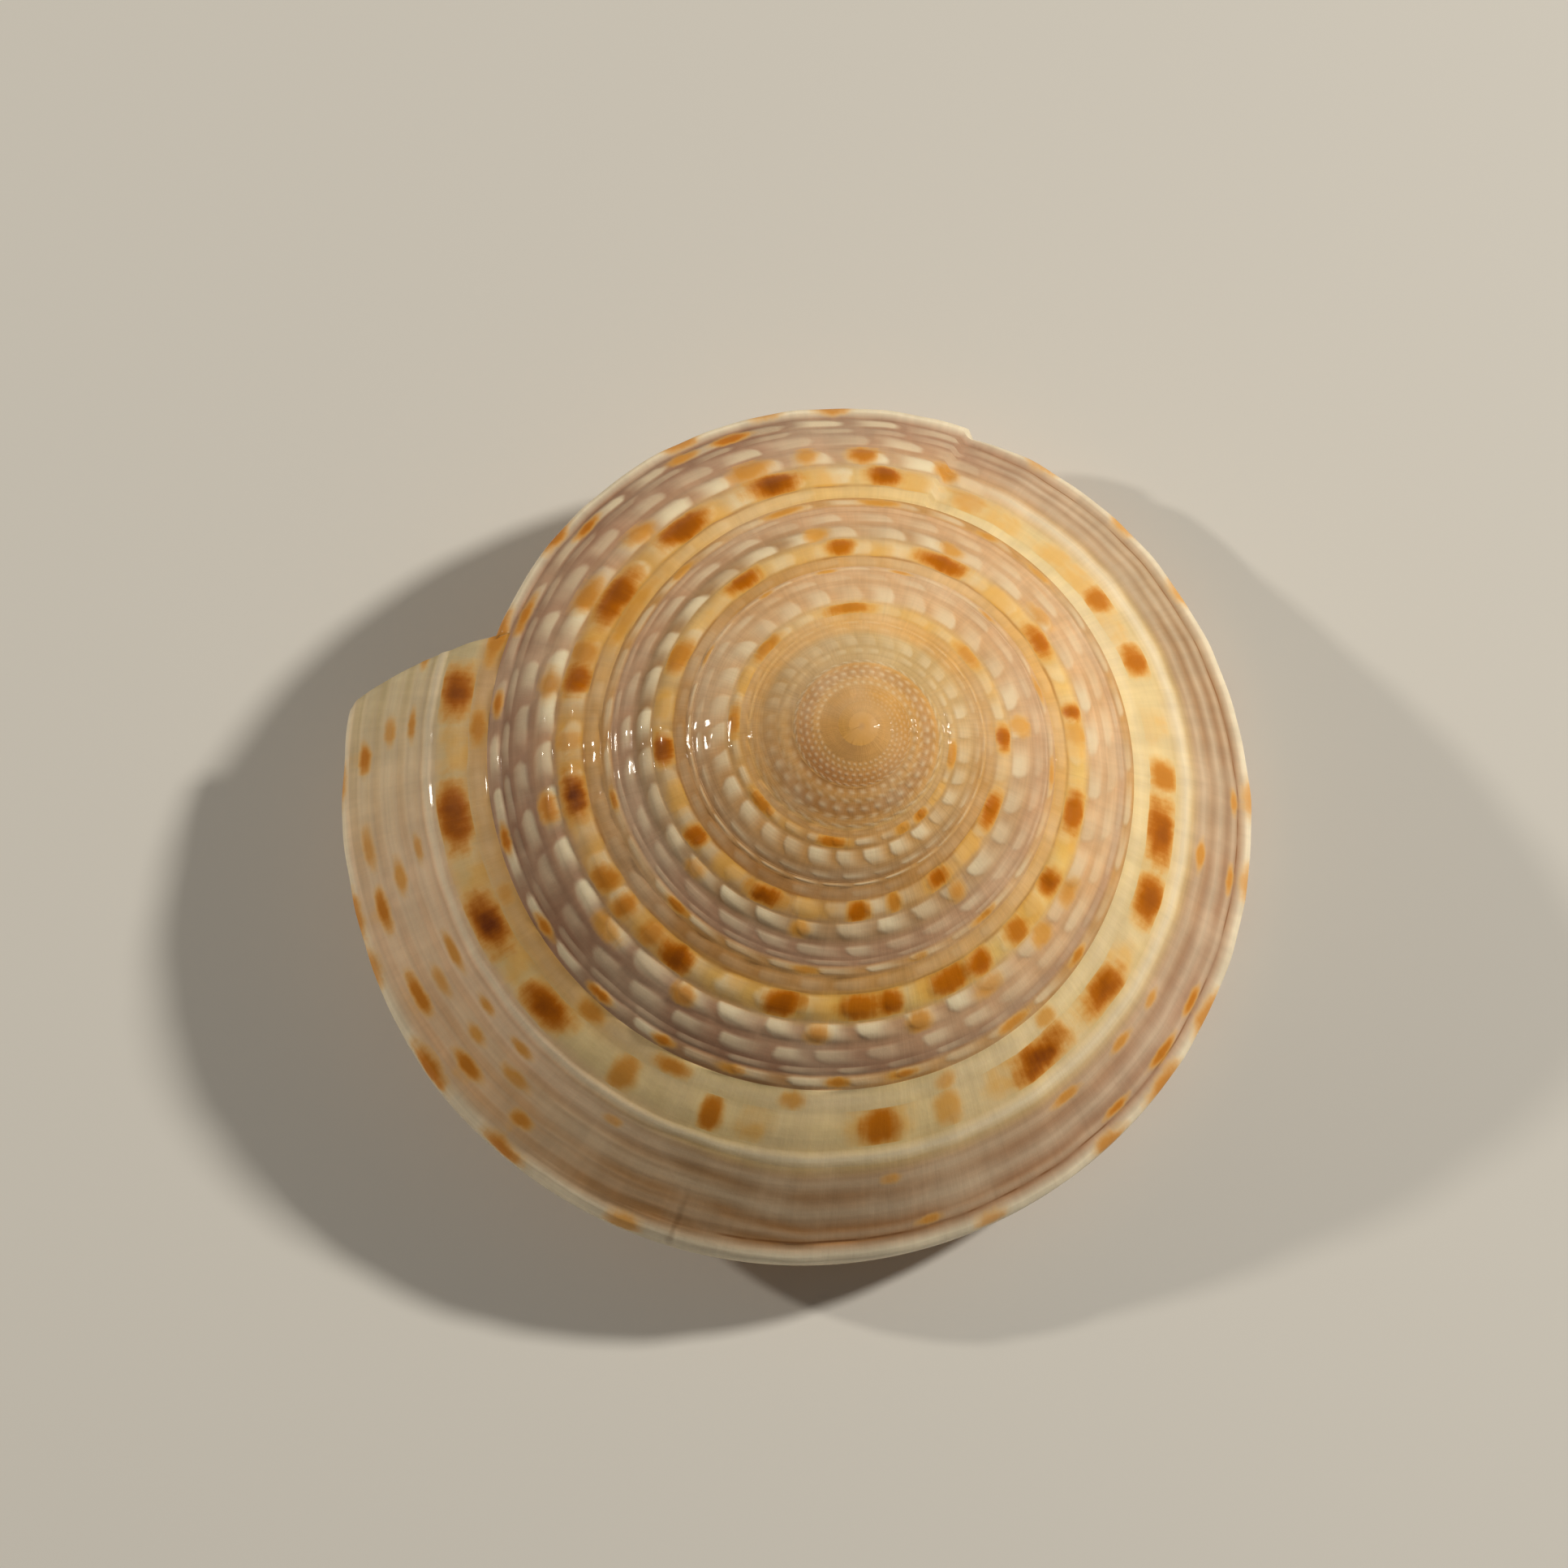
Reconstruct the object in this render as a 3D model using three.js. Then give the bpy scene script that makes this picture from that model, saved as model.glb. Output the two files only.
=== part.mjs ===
// Sundial shell: one low, right-handed coil with a keeled rim, corded and beaded whorls,
// a flat corded base and a wide open umbilicus. Millimetres, +Z up, resting on its base.
//
// Every whorl is the same cross section swept round the coil axis while it grows. A place on
// it has an angle in degrees, which rises as the shell grows, clockwise seen from the apex,
// and passes 360 for each whorl. Depth is measured down the coil axis from the apex.
import * as THREE from 'three';

// Coil: radius of the suture, where a whorl meets the one before it, at angle 0, and how fast
// it grows in a turn.
const coil = { radiusAtZero: 8.42, growth: 0.3987, slowing: 0.0207 };
// Small swellings of that radius: centre angle, half width, part of the radius.
const swellings = [
  [-585, 60, 0.026], [-325, 45, -0.048], [-45, 40, 0.022], [100, 40, 0.012],
  [225, 28, -0.018], [292, 30, 0.012], [372, 28, -0.018], [822, 48, 0.014],
];
// The spire is a low dome: depth is slope times radius and curve times its square.
const dome = { slope: 0.369, curve: 0.0208 };
const nucleusDepth = 0.12;

// Columns of vertices stand side by side along the coil, from the nucleus to the lip.
const columnsPerTurn = 64;
const step = 360 / columnsPerTurn;
const lipAngle = 564.4;
const columnCount = 392;
const firstAngle = lipAngle - columnCount * step;
// The tiny first whorls have coarser columns up to these angles.
const coarse = { smoothUntil: -930, plainUntil: -430 };

// A growth line leans back by this many steps from its whorl's suture to the places named.
const lean = { nextSuture: 2, keel: 2.5, umbilicalFoot: 3, umbilicalTop: 1 };
const nextTurn = columnsPerTurn - lean.nextSuture;
const endAtBase = lipAngle - lean.keel * step;

// Keel, the sharp outer rim: how far it stands past the next suture, how far it hangs below
// it, and how much it draws in as it nears the lip.
const keel = { reach: 1.034, drop: 0.044, bulge: 0.016, drawIn: 0.045, drawFrom: 500, drawTo: 550 };

// Base: it falls from the keel to its lowest line, then rises a little to the umbilicus.
const base = { depth: 0.255, lowest: 0.46, rise: 0.55, lipRise: 0.1, lipRiseFrom: 525 };
// Umbilicus: its edge carries a crenulate cord, whose foot and tip lie across the base.
const umbilicus = {
  radius: 0.36, foot: 0.9, tip: 0.955, cordHeight: 0.034, crenulation: 0.016, hollow: 0.03,
  startAngle: -465, topDepth: 0.6,
};

// A healed break across the last whorl: a step down, and a notch in the keel after a flare.
const scar = {
  angle: 288, leanPerWidth: 2.4, step: 0.02, fade: 40,
  keelAt: 1.2, notch: 0.034, notchFade: 9, flare: 0.012, flareFade: 25,
};

// Cords: inner and outer edge across the whorl, 0 at the suture and 1 at the next suture.
const cordStages = [
  { angle: -430, main: [0.12, 0.3], pale: [0.32, 0.7], third: [0.72, 0.89], upper: [0.91, 0.99] },
  { angle: -240, main: [0.145, 0.372], pale: [0.393, 0.586], third: [0.62, 0.786], upper: [0.871, 0.99] },
  { angle: 280, main: [0.145, 0.372], pale: [0.393, 0.586], third: [0.62, 0.786], upper: [0.871, 0.99] },
  { angle: 470, main: [0.135, 0.372], pale: [0.382, 0.455], third: [0.47, 0.6], upper: [0.8, 0.925] },
];
const cordHeight = { main: 0.02, pale: 0.022, third: 0.017, upper: 0.02 };
const beadDepth = { main: 0.35, pale: 0.75, third: 0.75, upper: 0.45 };
const whorlConvexity = 0.012;
// Spiral ridges of the base: place across from the keel, and height.
const baseCords = [
  [0.035, -0.002], [0.08, 0.02], [0.125, -0.004], [0.25, 0.004], [0.42, 0], [0.6, 0.002],
  [0.77, -0.006],
];
const beadedBaseCord = { at: 0.835, height: 0.012, beadDepth: 0.6 };

// The tube that the animal lived in, and how thick its walls are.
const tube = { length: 600, step: 20, wall: 0.05, keelWall: 0.085, lipWall: 0.035, glaze: 0.018 };
// Places of the tube's corners across the upper face, the base, and the umbilical wall.
const tubeCorners = {
  upper: [0.28, 0.5, 0.72, 0.94], keel: 0.07, base: [0.2, 0.36, 0.52, 0.7, 0.86],
  umbilical: [0.2, 0.5, 0.8], before: [0.8, 0.6, 0.38, 0.18, 0.05],
};

// How the shell lies: its axis leans, and its lowest points are worn flat where it rests.
const rest = { leanAngle: 10.5, leanToward: -21, x: 3.77, y: 2.39, z: 18.24 };

const columnAngle = (column) => firstAngle + column * step;
const radians = (degrees) => degrees * Math.PI / 180;
const mix = (a, b, part) => a + (b - a) * part;
const smooth = (low, high, value) => {
  const part = Math.min(1, Math.max(0, (value - low) / (high - low)));
  return part * part * (3 - 2 * part);
};

function sutureRadius(angle) {
  const turn = angle / 360;
  let swelling = 1;
  for (const [centre, width, amount] of swellings) {
    swelling += amount * Math.exp(-(((angle - centre) / width) ** 2));
  }
  return coil.radiusAtZero * Math.exp(coil.growth * turn - coil.slowing * turn * turn) * swelling;
}

const domeDepth = (radius) => dome.slope * radius + dome.curve * radius * radius;

// A cross section is worked out as points { r, d }: distance from the axis and depth.
function suturePoint(angle) {
  const r = sutureRadius(angle);
  return { r, d: domeDepth(r) };
}

// Degrees past the scar, which leans a little across the whorl.
const pastScar = (angle, across) => angle - scar.angle - scar.leanPerWidth * across;

function scarDrop(angle, across) {
  const past = pastScar(angle, across);
  return past > 0 ? -scar.step * Math.exp(-past / scar.fade) : 0;
}

function keelPoint(angle) {
  const size = sutureRadius(angle);
  const past = pastScar(angle, scar.keelAt);
  const broken = past > 0
    ? -scar.notch * Math.exp(-past / scar.notchFade)
    : scar.flare * Math.exp(past / scar.flareFade);
  const drawn = 1 - keel.drawIn * smooth(keel.drawFrom, keel.drawTo, angle);
  const fullReach = sutureRadius(angle + 360) * keel.reach;
  return { r: fullReach * drawn * (1 + broken), d: domeDepth(fullReach) + keel.drop * size };
}

// A point between two others, raised off the straight line by a height to its outer side.
function raised(from, to, across, height) {
  const length = Math.hypot(to.r - from.r, to.d - from.d);
  const out = { r: (to.d - from.d) / length, d: -(to.r - from.r) / length };
  return {
    r: mix(from.r, to.r, across) + out.r * height,
    d: mix(from.d, to.d, across) + out.d * height,
  };
}

// Upper face of a whorl, from its suture at 0 to the next whorl's suture at 1.
function upperPoint(angle, across, height) {
  const size = sutureRadius(angle);
  const arch = 4 * whorlConvexity * across * (1 - across);
  return raised(suturePoint(angle), suturePoint(angle + 360), across, size * (arch + height));
}

// Outer face of the keel, from the next suture at 0 to the keel's edge at 1.
function keelFacePoint(angle, part) {
  const size = sutureRadius(angle);
  const height = size * keel.bulge * Math.sin(Math.PI * part);
  return raised(suturePoint(angle + 360), keelPoint(angle), part, height);
}

// Base, from the keel at 0 to the umbilicus at 1, with a height that stands down from it.
function basePoint(angle, across, height) {
  const size = sutureRadius(angle);
  const from = keelPoint(angle);
  const depth = base.depth * size * (1 - base.lipRise * smooth(base.lipRiseFrom, endAtBase, angle));
  const place = (part) => {
    const fall = part < base.lowest
      ? 1 - (1 - part / base.lowest) ** 2
      : 1 - base.rise * ((part - base.lowest) / (1 - base.lowest)) ** 2;
    return { r: mix(from.r, umbilicus.radius * size, part), d: from.d + depth * fall };
  };
  const nearby = 0.01;
  const before = place(across - nearby);
  const after = place(across + nearby);
  const middle = { r: (before.r + after.r) / 2, d: (before.d + after.d) / 2 };
  const length = Math.hypot(after.r - before.r, after.d - before.d);
  const out = { r: (after.d - before.d) / length, d: -(after.r - before.r) / length };
  return { r: middle.r + out.r * height * size, d: middle.d + out.d * height * size };
}

// Wall of the umbilicus, from the base's inner edge at 0 up to the whorl before it at 1.
function umbilicalPoint(angle, part) {
  const lower = basePoint(angle, 1, 0);
  const upper = basePoint(angle - 360, umbilicus.foot, 0);
  const size = sutureRadius(angle);
  return raised(lower, upper, part, -umbilicus.hollow * size * Math.sin(Math.PI * part));
}

function cordEdges(angle, name) {
  const last = cordStages.length - 1;
  if (angle <= cordStages[0].angle) return cordStages[0][name];
  if (angle >= cordStages[last].angle) return cordStages[last][name];
  const next = cordStages.findIndex((stage) => stage.angle > angle);
  const from = cordStages[next - 1];
  const to = cordStages[next];
  const part = smooth(from.angle, to.angle, angle);
  return [mix(from[name][0], to[name][0], part), mix(from[name][1], to[name][1], part)];
}

// Beads stand on every other column until the scar, and are gone after it.
function beading(column, name) {
  const angle = columnAngle(column);
  const fade = 1 - smooth(scar.angle, scar.angle + 2 * step, angle);
  return 1 - beadDepth[name] * fade * (column % 2);
}

// Upper face of one column as [place across, height], coarser on the tiny first whorls.
function upperProfile(column) {
  const angle = columnAngle(column);
  const crest = (name) => {
    const [inner, outer] = cordEdges(angle, name);
    return [(inner + outer) / 2, cordHeight[name] * beading(column, name)];
  };
  const groove = (before, after) => [(cordEdges(angle, before)[1] + cordEdges(angle, after)[0]) / 2, 0];
  const main = cordEdges(angle, 'main');
  const mainHeight = cordHeight.main * beading(column, 'main');
  if (angle < coarse.smoothUntil) return [[0.5, cordHeight.main]];
  if (angle < coarse.plainUntil) {
    return [[main[0], 0], crest('main'), groove('main', 'pale'), crest('pale'),
      groove('pale', 'third'), crest('third'), groove('third', 'upper')];
  }
  return [
    [main[0], 0], [mix(...main, 0.2), mainHeight], [mix(...main, 0.8), mainHeight],
    groove('main', 'pale'), crest('pale'), groove('pale', 'third'), crest('third'),
    [cordEdges(angle, 'third')[1] + 0.01, 0], [cordEdges(angle, 'upper')[0], 0], crest('upper'),
  ];
}

// Base of one column as [place across, height].
function baseProfile(column) {
  const bead = 1 - beadedBaseCord.beadDepth * (column % 2);
  return [...baseCords, [beadedBaseCord.at, beadedBaseCord.height * bead]];
}

// Mesh being built: positions round the coil axis, and triangles.
const positions = [];
const triangles = [];

function addVertex(angle, point) {
  const turned = radians(angle);
  positions.push(new THREE.Vector3(point.r * Math.cos(turned), -point.r * Math.sin(turned), -point.d));
  return positions.length - 1;
}

// Triangles between two rows of vertices, each entry { vertex, at }, with at rising along both.
function bridge(first, second) {
  let a = 0;
  let b = 0;
  while (a < first.length - 1 || b < second.length - 1) {
    const aNext = a < first.length - 1 ? first[a + 1].at : Infinity;
    const bNext = b < second.length - 1 ? second[b + 1].at : Infinity;
    if (aNext <= bNext) {
      triangles.push([first[a].vertex, second[b].vertex, first[a + 1].vertex]);
      a += 1;
    } else {
      triangles.push([first[a].vertex, second[b].vertex, second[b + 1].vertex]);
      b += 1;
    }
  }
}

function fan(loop, centre) {
  for (let k = 0; k < loop.length - 1; k += 1) triangles.push([loop[k], loop[k + 1], centre]);
}

const lastAttached = columnCount - nextTurn;

// Suture vertices, one on each column, which the whorl inside shares as its outer edge.
const sutureVertices = [];
for (let column = 0; column <= columnCount; column += 1) {
  sutureVertices.push(addVertex(columnAngle(column), suturePoint(columnAngle(column))));
}

function upperColumn(column) {
  const row = [{ vertex: sutureVertices[column], at: 0 }];
  for (const [across, height] of upperProfile(column)) {
    const angle = columnAngle(column) - lean.nextSuture * step * across;
    const point = upperPoint(angle, across, height + scarDrop(angle, across));
    row.push({ vertex: addVertex(angle, point), at: across });
  }
  const outerAngle = columnAngle(column) - lean.nextSuture * step;
  const outer = column <= lastAttached
    ? sutureVertices[column + nextTurn]
    : addVertex(outerAngle, upperPoint(outerAngle, 1, 0));
  row.push({ vertex: outer, at: 1 });
  return row;
}

const baseLean = (across) => mix(lean.keel, lean.umbilicalFoot, across / umbilicus.foot);

// Keel and base of one column, from the next suture to the foot of the umbilical cord.
function outerColumn(column, nextSutureVertex) {
  const row = [{ vertex: nextSutureVertex, at: 1 }];
  const middle = columnAngle(column) - mix(lean.nextSuture, lean.keel, 0.5) * step;
  row.push({ vertex: addVertex(middle, keelFacePoint(middle, 0.5)), at: 1.1 });
  const edge = columnAngle(column) - lean.keel * step;
  row.push({ vertex: addVertex(edge, keelPoint(edge)), at: 1.2 });
  for (const [across, height] of baseProfile(column)) {
    const angle = columnAngle(column) - baseLean(across) * step;
    row.push({ vertex: addVertex(angle, basePoint(angle, across, height)), at: 2 + across });
  }
  row.push({ vertex: footVertex(column), at: 2 + umbilicus.foot });
  return row;
}

// Foot of the umbilical cord, which the next whorl's umbilical wall shares as its top.
const footVertices = new Map();
function footVertex(column) {
  if (!footVertices.has(column)) {
    const angle = columnAngle(column) - lean.umbilicalFoot * step;
    footVertices.set(column, addVertex(angle, basePoint(angle, umbilicus.foot, 0)));
  }
  return footVertices.get(column);
}

function umbilicalColumn(column) {
  const crest = umbilicus.cordHeight - umbilicus.crenulation * (column % 2);
  const tipAngle = columnAngle(column) - lean.umbilicalFoot * step;
  const innerAngle = tipAngle + 0.5 * step;
  const wallAngle = tipAngle + step;
  return [
    { vertex: footVertex(column), at: 0 },
    { vertex: addVertex(tipAngle, basePoint(tipAngle, umbilicus.tip, crest)), at: 1 },
    { vertex: addVertex(innerAngle, umbilicalPoint(innerAngle, 0.08)), at: 2 },
    { vertex: addVertex(wallAngle, umbilicalPoint(wallAngle, 0.5)), at: 3 },
    { vertex: footVertex(column - nextTurn), at: 4 },
  ];
}

const upperColumns = [];
const outerColumns = new Map();
const umbilicalColumns = new Map();
for (let column = 0; column <= columnCount; column += 1) {
  upperColumns.push(upperColumn(column));
  if (column >= lastAttached) {
    outerColumns.set(column, outerColumn(column, upperColumns[column].at(-1).vertex));
  }
}
const umbilicalStart = Math.round((umbilicus.startAngle - firstAngle) / step);
for (let column = umbilicalStart; column <= columnCount; column += 1) {
  umbilicalColumns.set(column, umbilicalColumn(column));
}
for (let column = 0; column < columnCount; column += 1) {
  bridge(upperColumns[column], upperColumns[column + 1]);
  if (column >= lastAttached) bridge(outerColumns.get(column), outerColumns.get(column + 1));
  if (column >= umbilicalStart) {
    bridge(umbilicalColumns.get(column), umbilicalColumns.get(column + 1));
  }
}

// Nucleus: the smooth first turn is closed over the apex.
const apex = addVertex(0, { r: 0, d: nucleusDepth });
const apexLoop = sutureVertices.slice(0, nextTurn + 1).reverse();
for (const { vertex } of upperColumns[0].slice(1)) apexLoop.push(vertex);
fan(apexLoop, apex);

// The umbilicus is closed at its narrow top, deep inside the shell.
const umbilicalLoop = [];
for (let column = umbilicalStart; column <= umbilicalStart + nextTurn; column += 1) {
  umbilicalLoop.push(footVertex(column - nextTurn));
}
for (const { vertex } of umbilicalColumns.get(umbilicalStart).slice(1)) umbilicalLoop.push(vertex);
const umbilicalTop = { r: 0, d: suturePoint(umbilicus.startAngle).d + umbilicus.topDepth };
fan(umbilicalLoop, addVertex(0, umbilicalTop));

// One ring of the tube inside: under the upper wall, round the keel, along the base, up the
// umbilical wall, and back along the whorl before it, whose wall is the tube's inner side.
function tubeRing(angle, wall) {
  const size = sutureRadius(angle);
  const sizeBefore = sutureRadius(angle - 360);
  const ring = [];
  for (const across of tubeCorners.upper) {
    const at = angle - lean.nextSuture * step * across;
    ring.push(addVertex(at, upperPoint(at, across, -wall)));
  }
  const keelCorner = angle - baseLean(tubeCorners.keel) * step;
  ring.push(addVertex(keelCorner, basePoint(keelCorner, tubeCorners.keel, -tube.keelWall)));
  for (const across of tubeCorners.base) {
    const at = angle - baseLean(across) * step;
    ring.push(addVertex(at, basePoint(at, across, -wall)));
  }
  for (const part of tubeCorners.umbilical) {
    const at = angle - mix(lean.umbilicalFoot, lean.umbilicalTop, part) * step;
    const onWall = umbilicalPoint(at, part);
    ring.push(addVertex(at, { r: onWall.r + wall * size, d: onWall.d }));
  }
  for (const across of tubeCorners.before) {
    const at = angle - 360 + (lean.nextSuture - baseLean(across)) * step;
    ring.push(addVertex(at, basePoint(at, across, tube.glaze * size / sizeBefore)));
  }
  return ring;
}

const closedRow = (loop) => [...loop, loop[0]].map((vertex, k) => ({ vertex, at: k / loop.length }));

const lipRing = tubeRing(lipAngle, tube.lipWall);
let tubeRow = closedRow(lipRing);
for (let turned = tube.step; turned <= tube.length; turned += tube.step) {
  const deeper = closedRow(tubeRing(lipAngle - turned, tube.wall));
  bridge(tubeRow, deeper);
  tubeRow = deeper;
}
const deepEnd = tubeRow.map(({ vertex }) => vertex).reverse();
const deepCentre = new THREE.Vector3();
for (const vertex of deepEnd.slice(1)) deepCentre.add(positions[vertex]);
positions.push(deepCentre.divideScalar(deepEnd.length - 1));
fan(deepEnd, positions.length - 1);

// The lip: the edge of the aperture, from the outer surface round to the tube inside.
const lipOutside = [
  ...upperColumns[columnCount].map(({ vertex }) => vertex),
  ...outerColumns.get(columnCount).slice(1).map(({ vertex }) => vertex),
  ...umbilicalColumns.get(columnCount).slice(1).map(({ vertex }) => vertex),
  ...outerColumns.get(lastAttached).slice(0, -1).map(({ vertex }) => vertex).reverse(),
];

// Length run along a row of vertices, from 0 to 1, starting at its first vertex.
function byLength(vertices) {
  let run = 0;
  const row = vertices.map((vertex, k) => {
    if (k > 0) run += positions[vertex].distanceTo(positions[vertices[k - 1]]);
    return { vertex, at: run };
  });
  return row.map(({ vertex, at }) => ({ vertex, at: at / run }));
}
bridge(byLength(lipOutside), byLength([...lipRing, lipRing[0]]));

// Lay the shell down: tip its axis, move it over the origin, and flatten what would be lower.
const leanToward = radians(rest.leanToward);
const hinge = new THREE.Vector3(Math.sin(leanToward), Math.cos(leanToward), 0);
const lay = new THREE.Matrix4().makeRotationAxis(hinge, radians(rest.leanAngle));
lay.setPosition(rest.x, rest.y, rest.z);
const vertexNumbers = [];
for (const position of positions) {
  position.applyMatrix4(lay);
  vertexNumbers.push(position.x, position.y, Math.max(0, position.z));
}

const shellGeometry = new THREE.BufferGeometry();
shellGeometry.setAttribute('position', new THREE.Float32BufferAttribute(vertexNumbers, 3));
shellGeometry.setIndex(triangles.flat());
shellGeometry.computeVertexNormals();

const porcelain = new THREE.MeshStandardMaterial({ color: 0xc4a57c, roughness: 0.32, metalness: 0 });
const shell = new THREE.Mesh(shellGeometry, porcelain);
shell.name = 'shell';

const sundial = new THREE.Group();
sundial.add(shell);
export default sundial;
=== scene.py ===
import math

import bpy
import numpy as np
from mathutils import Matrix, Vector


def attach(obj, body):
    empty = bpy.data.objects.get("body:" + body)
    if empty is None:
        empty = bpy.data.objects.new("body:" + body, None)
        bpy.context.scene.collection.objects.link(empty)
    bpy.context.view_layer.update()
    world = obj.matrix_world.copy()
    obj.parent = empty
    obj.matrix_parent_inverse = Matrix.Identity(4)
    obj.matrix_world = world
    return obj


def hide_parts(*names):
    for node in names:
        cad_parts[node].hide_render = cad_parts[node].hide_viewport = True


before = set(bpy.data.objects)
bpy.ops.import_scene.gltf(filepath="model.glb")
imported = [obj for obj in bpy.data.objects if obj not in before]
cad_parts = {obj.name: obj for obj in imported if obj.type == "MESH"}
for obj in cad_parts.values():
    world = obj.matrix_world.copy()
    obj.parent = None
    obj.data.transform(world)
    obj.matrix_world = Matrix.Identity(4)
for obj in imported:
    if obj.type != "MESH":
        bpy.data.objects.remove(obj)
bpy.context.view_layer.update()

# Form of the shell, in millimetres. A place on it has an angle in degrees, which rises as the
# shell grows, clockwise seen from the apex, and passes 360 for each whorl. Depth is measured
# down the coil axis from the apex, and cross sections are points (distance from axis, depth).
COIL_RADIUS = 8.42
COIL_GROWTH = 0.3987
COIL_SLOWING = 0.0207
# Small swellings of the coil: centre angle, half width, part of the radius.
SWELLINGS = [
    (-585, 60, 0.026), (-325, 45, -0.048), (-45, 40, 0.022), (100, 40, 0.012),
    (225, 28, -0.018), (292, 30, 0.012), (372, 28, -0.018), (822, 48, 0.014),
]
# Depth of the spire: this times the distance from the axis, and this times its square.
DOME_SLOPE = 0.369
DOME_CURVE = 0.0208
# The little dome over the first turn: its depth, its pit, its rings and how flat it is on top.
NUCLEUS_DEPTH = 0.12
NUCLEUS_PIT = 0.04
NUCLEUS_RINGS = [0.3, 0.65]
NUCLEUS_FLATNESS = 1.5

# Columns of vertices stand side by side along the coil, from the nucleus to the lip.
COLUMNS_PER_TURN = 320
STEP = 360 / COLUMNS_PER_TURN
LIP_ANGLE = 564.4
TURNS = 7.125
COLUMNS = round(TURNS * COLUMNS_PER_TURN)
FIRST_ANGLE = LIP_ANGLE - COLUMNS * STEP

# A growth line leans back by these degrees from its whorl's suture to the places named.
SUTURE_LEAN = 11.25
KEEL_LEAN = 14.0625
FOOT_LEAN = 16.875
NEXT_TURN = round((360 - SUTURE_LEAN) / STEP)
LAST_ATTACHED = COLUMNS - NEXT_TURN

# The keel reaches out past the next suture, and draws in near the lip. From here on lengths are
# parts of the radius of the whorl's suture, and places across a face go from 0 to 1.
KEEL_REACH = 1.034
KEEL_DROP = 0.044
KEEL_BULGE = 0.016
KEEL_DRAW_IN = 0.045
KEEL_DRAW_FROM = 500
KEEL_DRAW_TO = 550

# The base is lowest at this place across, rises again by a part of its depth, and is flatter near
# the lip.
BASE_DEPTH = 0.255
BASE_LOWEST = 0.46
BASE_RISE = 0.55
BASE_LIP_RISE = 0.1
BASE_LIP_RISE_FROM = 525

# A crenulate cord runs round the umbilicus, from its foot on the base to its tip. The hollow starts
# at an angle, under a top which lies so many millimetres below the suture there.
UMBILICUS_RADIUS = 0.36
UMBILICUS_FOOT = 0.9
UMBILICUS_TIP = 0.955
UMBILICUS_CORD = 0.034
UMBILICUS_CRENULATION = 0.016
UMBILICUS_HOLLOW = 0.03
UMBILICUS_START = -465
UMBILICUS_TOP_DEPTH = 0.6

# A healed break across the last whorl, with a notch in the keel.
SCAR_ANGLE = 288
SCAR_LEAN = 2.4
SCAR_STEP = 0.02
SCAR_FADE = 40
SCAR_AT_KEEL = 1.2
NOTCH = 0.034
NOTCH_FADE = 9
FLARE = 0.012
FLARE_FADE = 25

# Cords of the upper face. All lists of their traits are in this order, from the suture outwards.
CORD_NAMES = ["thread", "main", "pale", "third", "band", "upper"]
# Angle, and places across of the inner and outer edge of each cord.
CORD_STAGES = [
    (-430, 0.01, 0.11, 0.12, 0.3, 0.32, 0.7, 0.72, 0.886, 0.892, 0.904, 0.91, 0.99),
    (-240, 0.012, 0.13, 0.145, 0.372, 0.393, 0.586, 0.62, 0.782, 0.79, 0.866, 0.871, 0.985),
    (280, 0.012, 0.13, 0.145, 0.372, 0.393, 0.586, 0.62, 0.782, 0.79, 0.866, 0.871, 0.985),
    (400, 0.012, 0.13, 0.145, 0.37, 0.385, 0.52, 0.545, 0.69, 0.71, 0.88, 0.9, 0.985),
    (464, 0.012, 0.13, 0.14, 0.36, 0.375, 0.49, 0.52, 0.67, 0.69, 0.89, 0.905, 0.985),
    (476, 0.01, 0.125, 0.135, 0.352, 0.37, 0.455, 0.468, 0.597, 0.61, 0.79, 0.82, 0.94),
]
CORD_HEIGHT = [0.005, 0.014, 0.013, 0.006, 0.003, 0.009]
# How square a cord's section is, and how softly it starts.
CORD_SQUARENESS = [2, 2.4, 2, 2, 2, 2]
CORD_SOFTNESS = 1.5
# Past the healed break the cords keep this part of their height.
SMOOTHER = 0.3
GROOVE = 0.0004
WHORL_CONVEXITY = 0.012
# Beads: angle, degrees from one to the next, and how far they lean back across one cord.
BEAD_STAGES = [
    (-1300, 8.5, 3), (-1000, 10, 4), (-620, 12.5, 5), (-180, 12, 4.5), (60, 9.8, 3),
    (200, 9.4, 2.2),
]
BEAD_ANGLES, BEAD_SPACING, BEAD_SLANT = zip(*BEAD_STAGES)
# By cord: part of that lean, how far its beads are ahead of the count, and how deep they are cut.
SLANT_PART = [0.3, 0.4, 1, 0.9, 0.5, 0.6]
BEAD_OFFSET = [0, 0.2, 0.55, 0.8, 0.1, 0.3]
BEAD_DEPTH = [0.5, 0.3, 0.5, 0.5, 0.4, 0.5]
# How far the front of a bead curves back at the edges of its cord, in parts of its length.
BEAD_ROUNDNESS = 0.14
# Beads of the upper face overlap like roof tiles: each rises over this part of its length, and
# drops steeply from the other one on. Those of the base are round, with a cut between them.
TILE_RISE = 0.62
TILE_DROP = 0.84
BEAD_CUT = 0.45
# Cords rise from the smooth nucleus up to where the beads start, which take some degrees more to
# be full. Past the healed break they fade.
NUCLEUS_SMOOTH = -1750
BEADS_START = -1430
BEADS_GROW = 100
BEADS_FADE = 14

# Ridges of the base: place across from the keel, height.
BASE_CORDS = [
    (0, 0), (0.035, -0.002), (0.08, 0.02), (0.125, -0.004), (0.25, 0.004), (0.42, 0),
    (0.6, 0.002), (0.77, -0.006), (0.835, 0.012), (0.9, 0),
]
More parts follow.
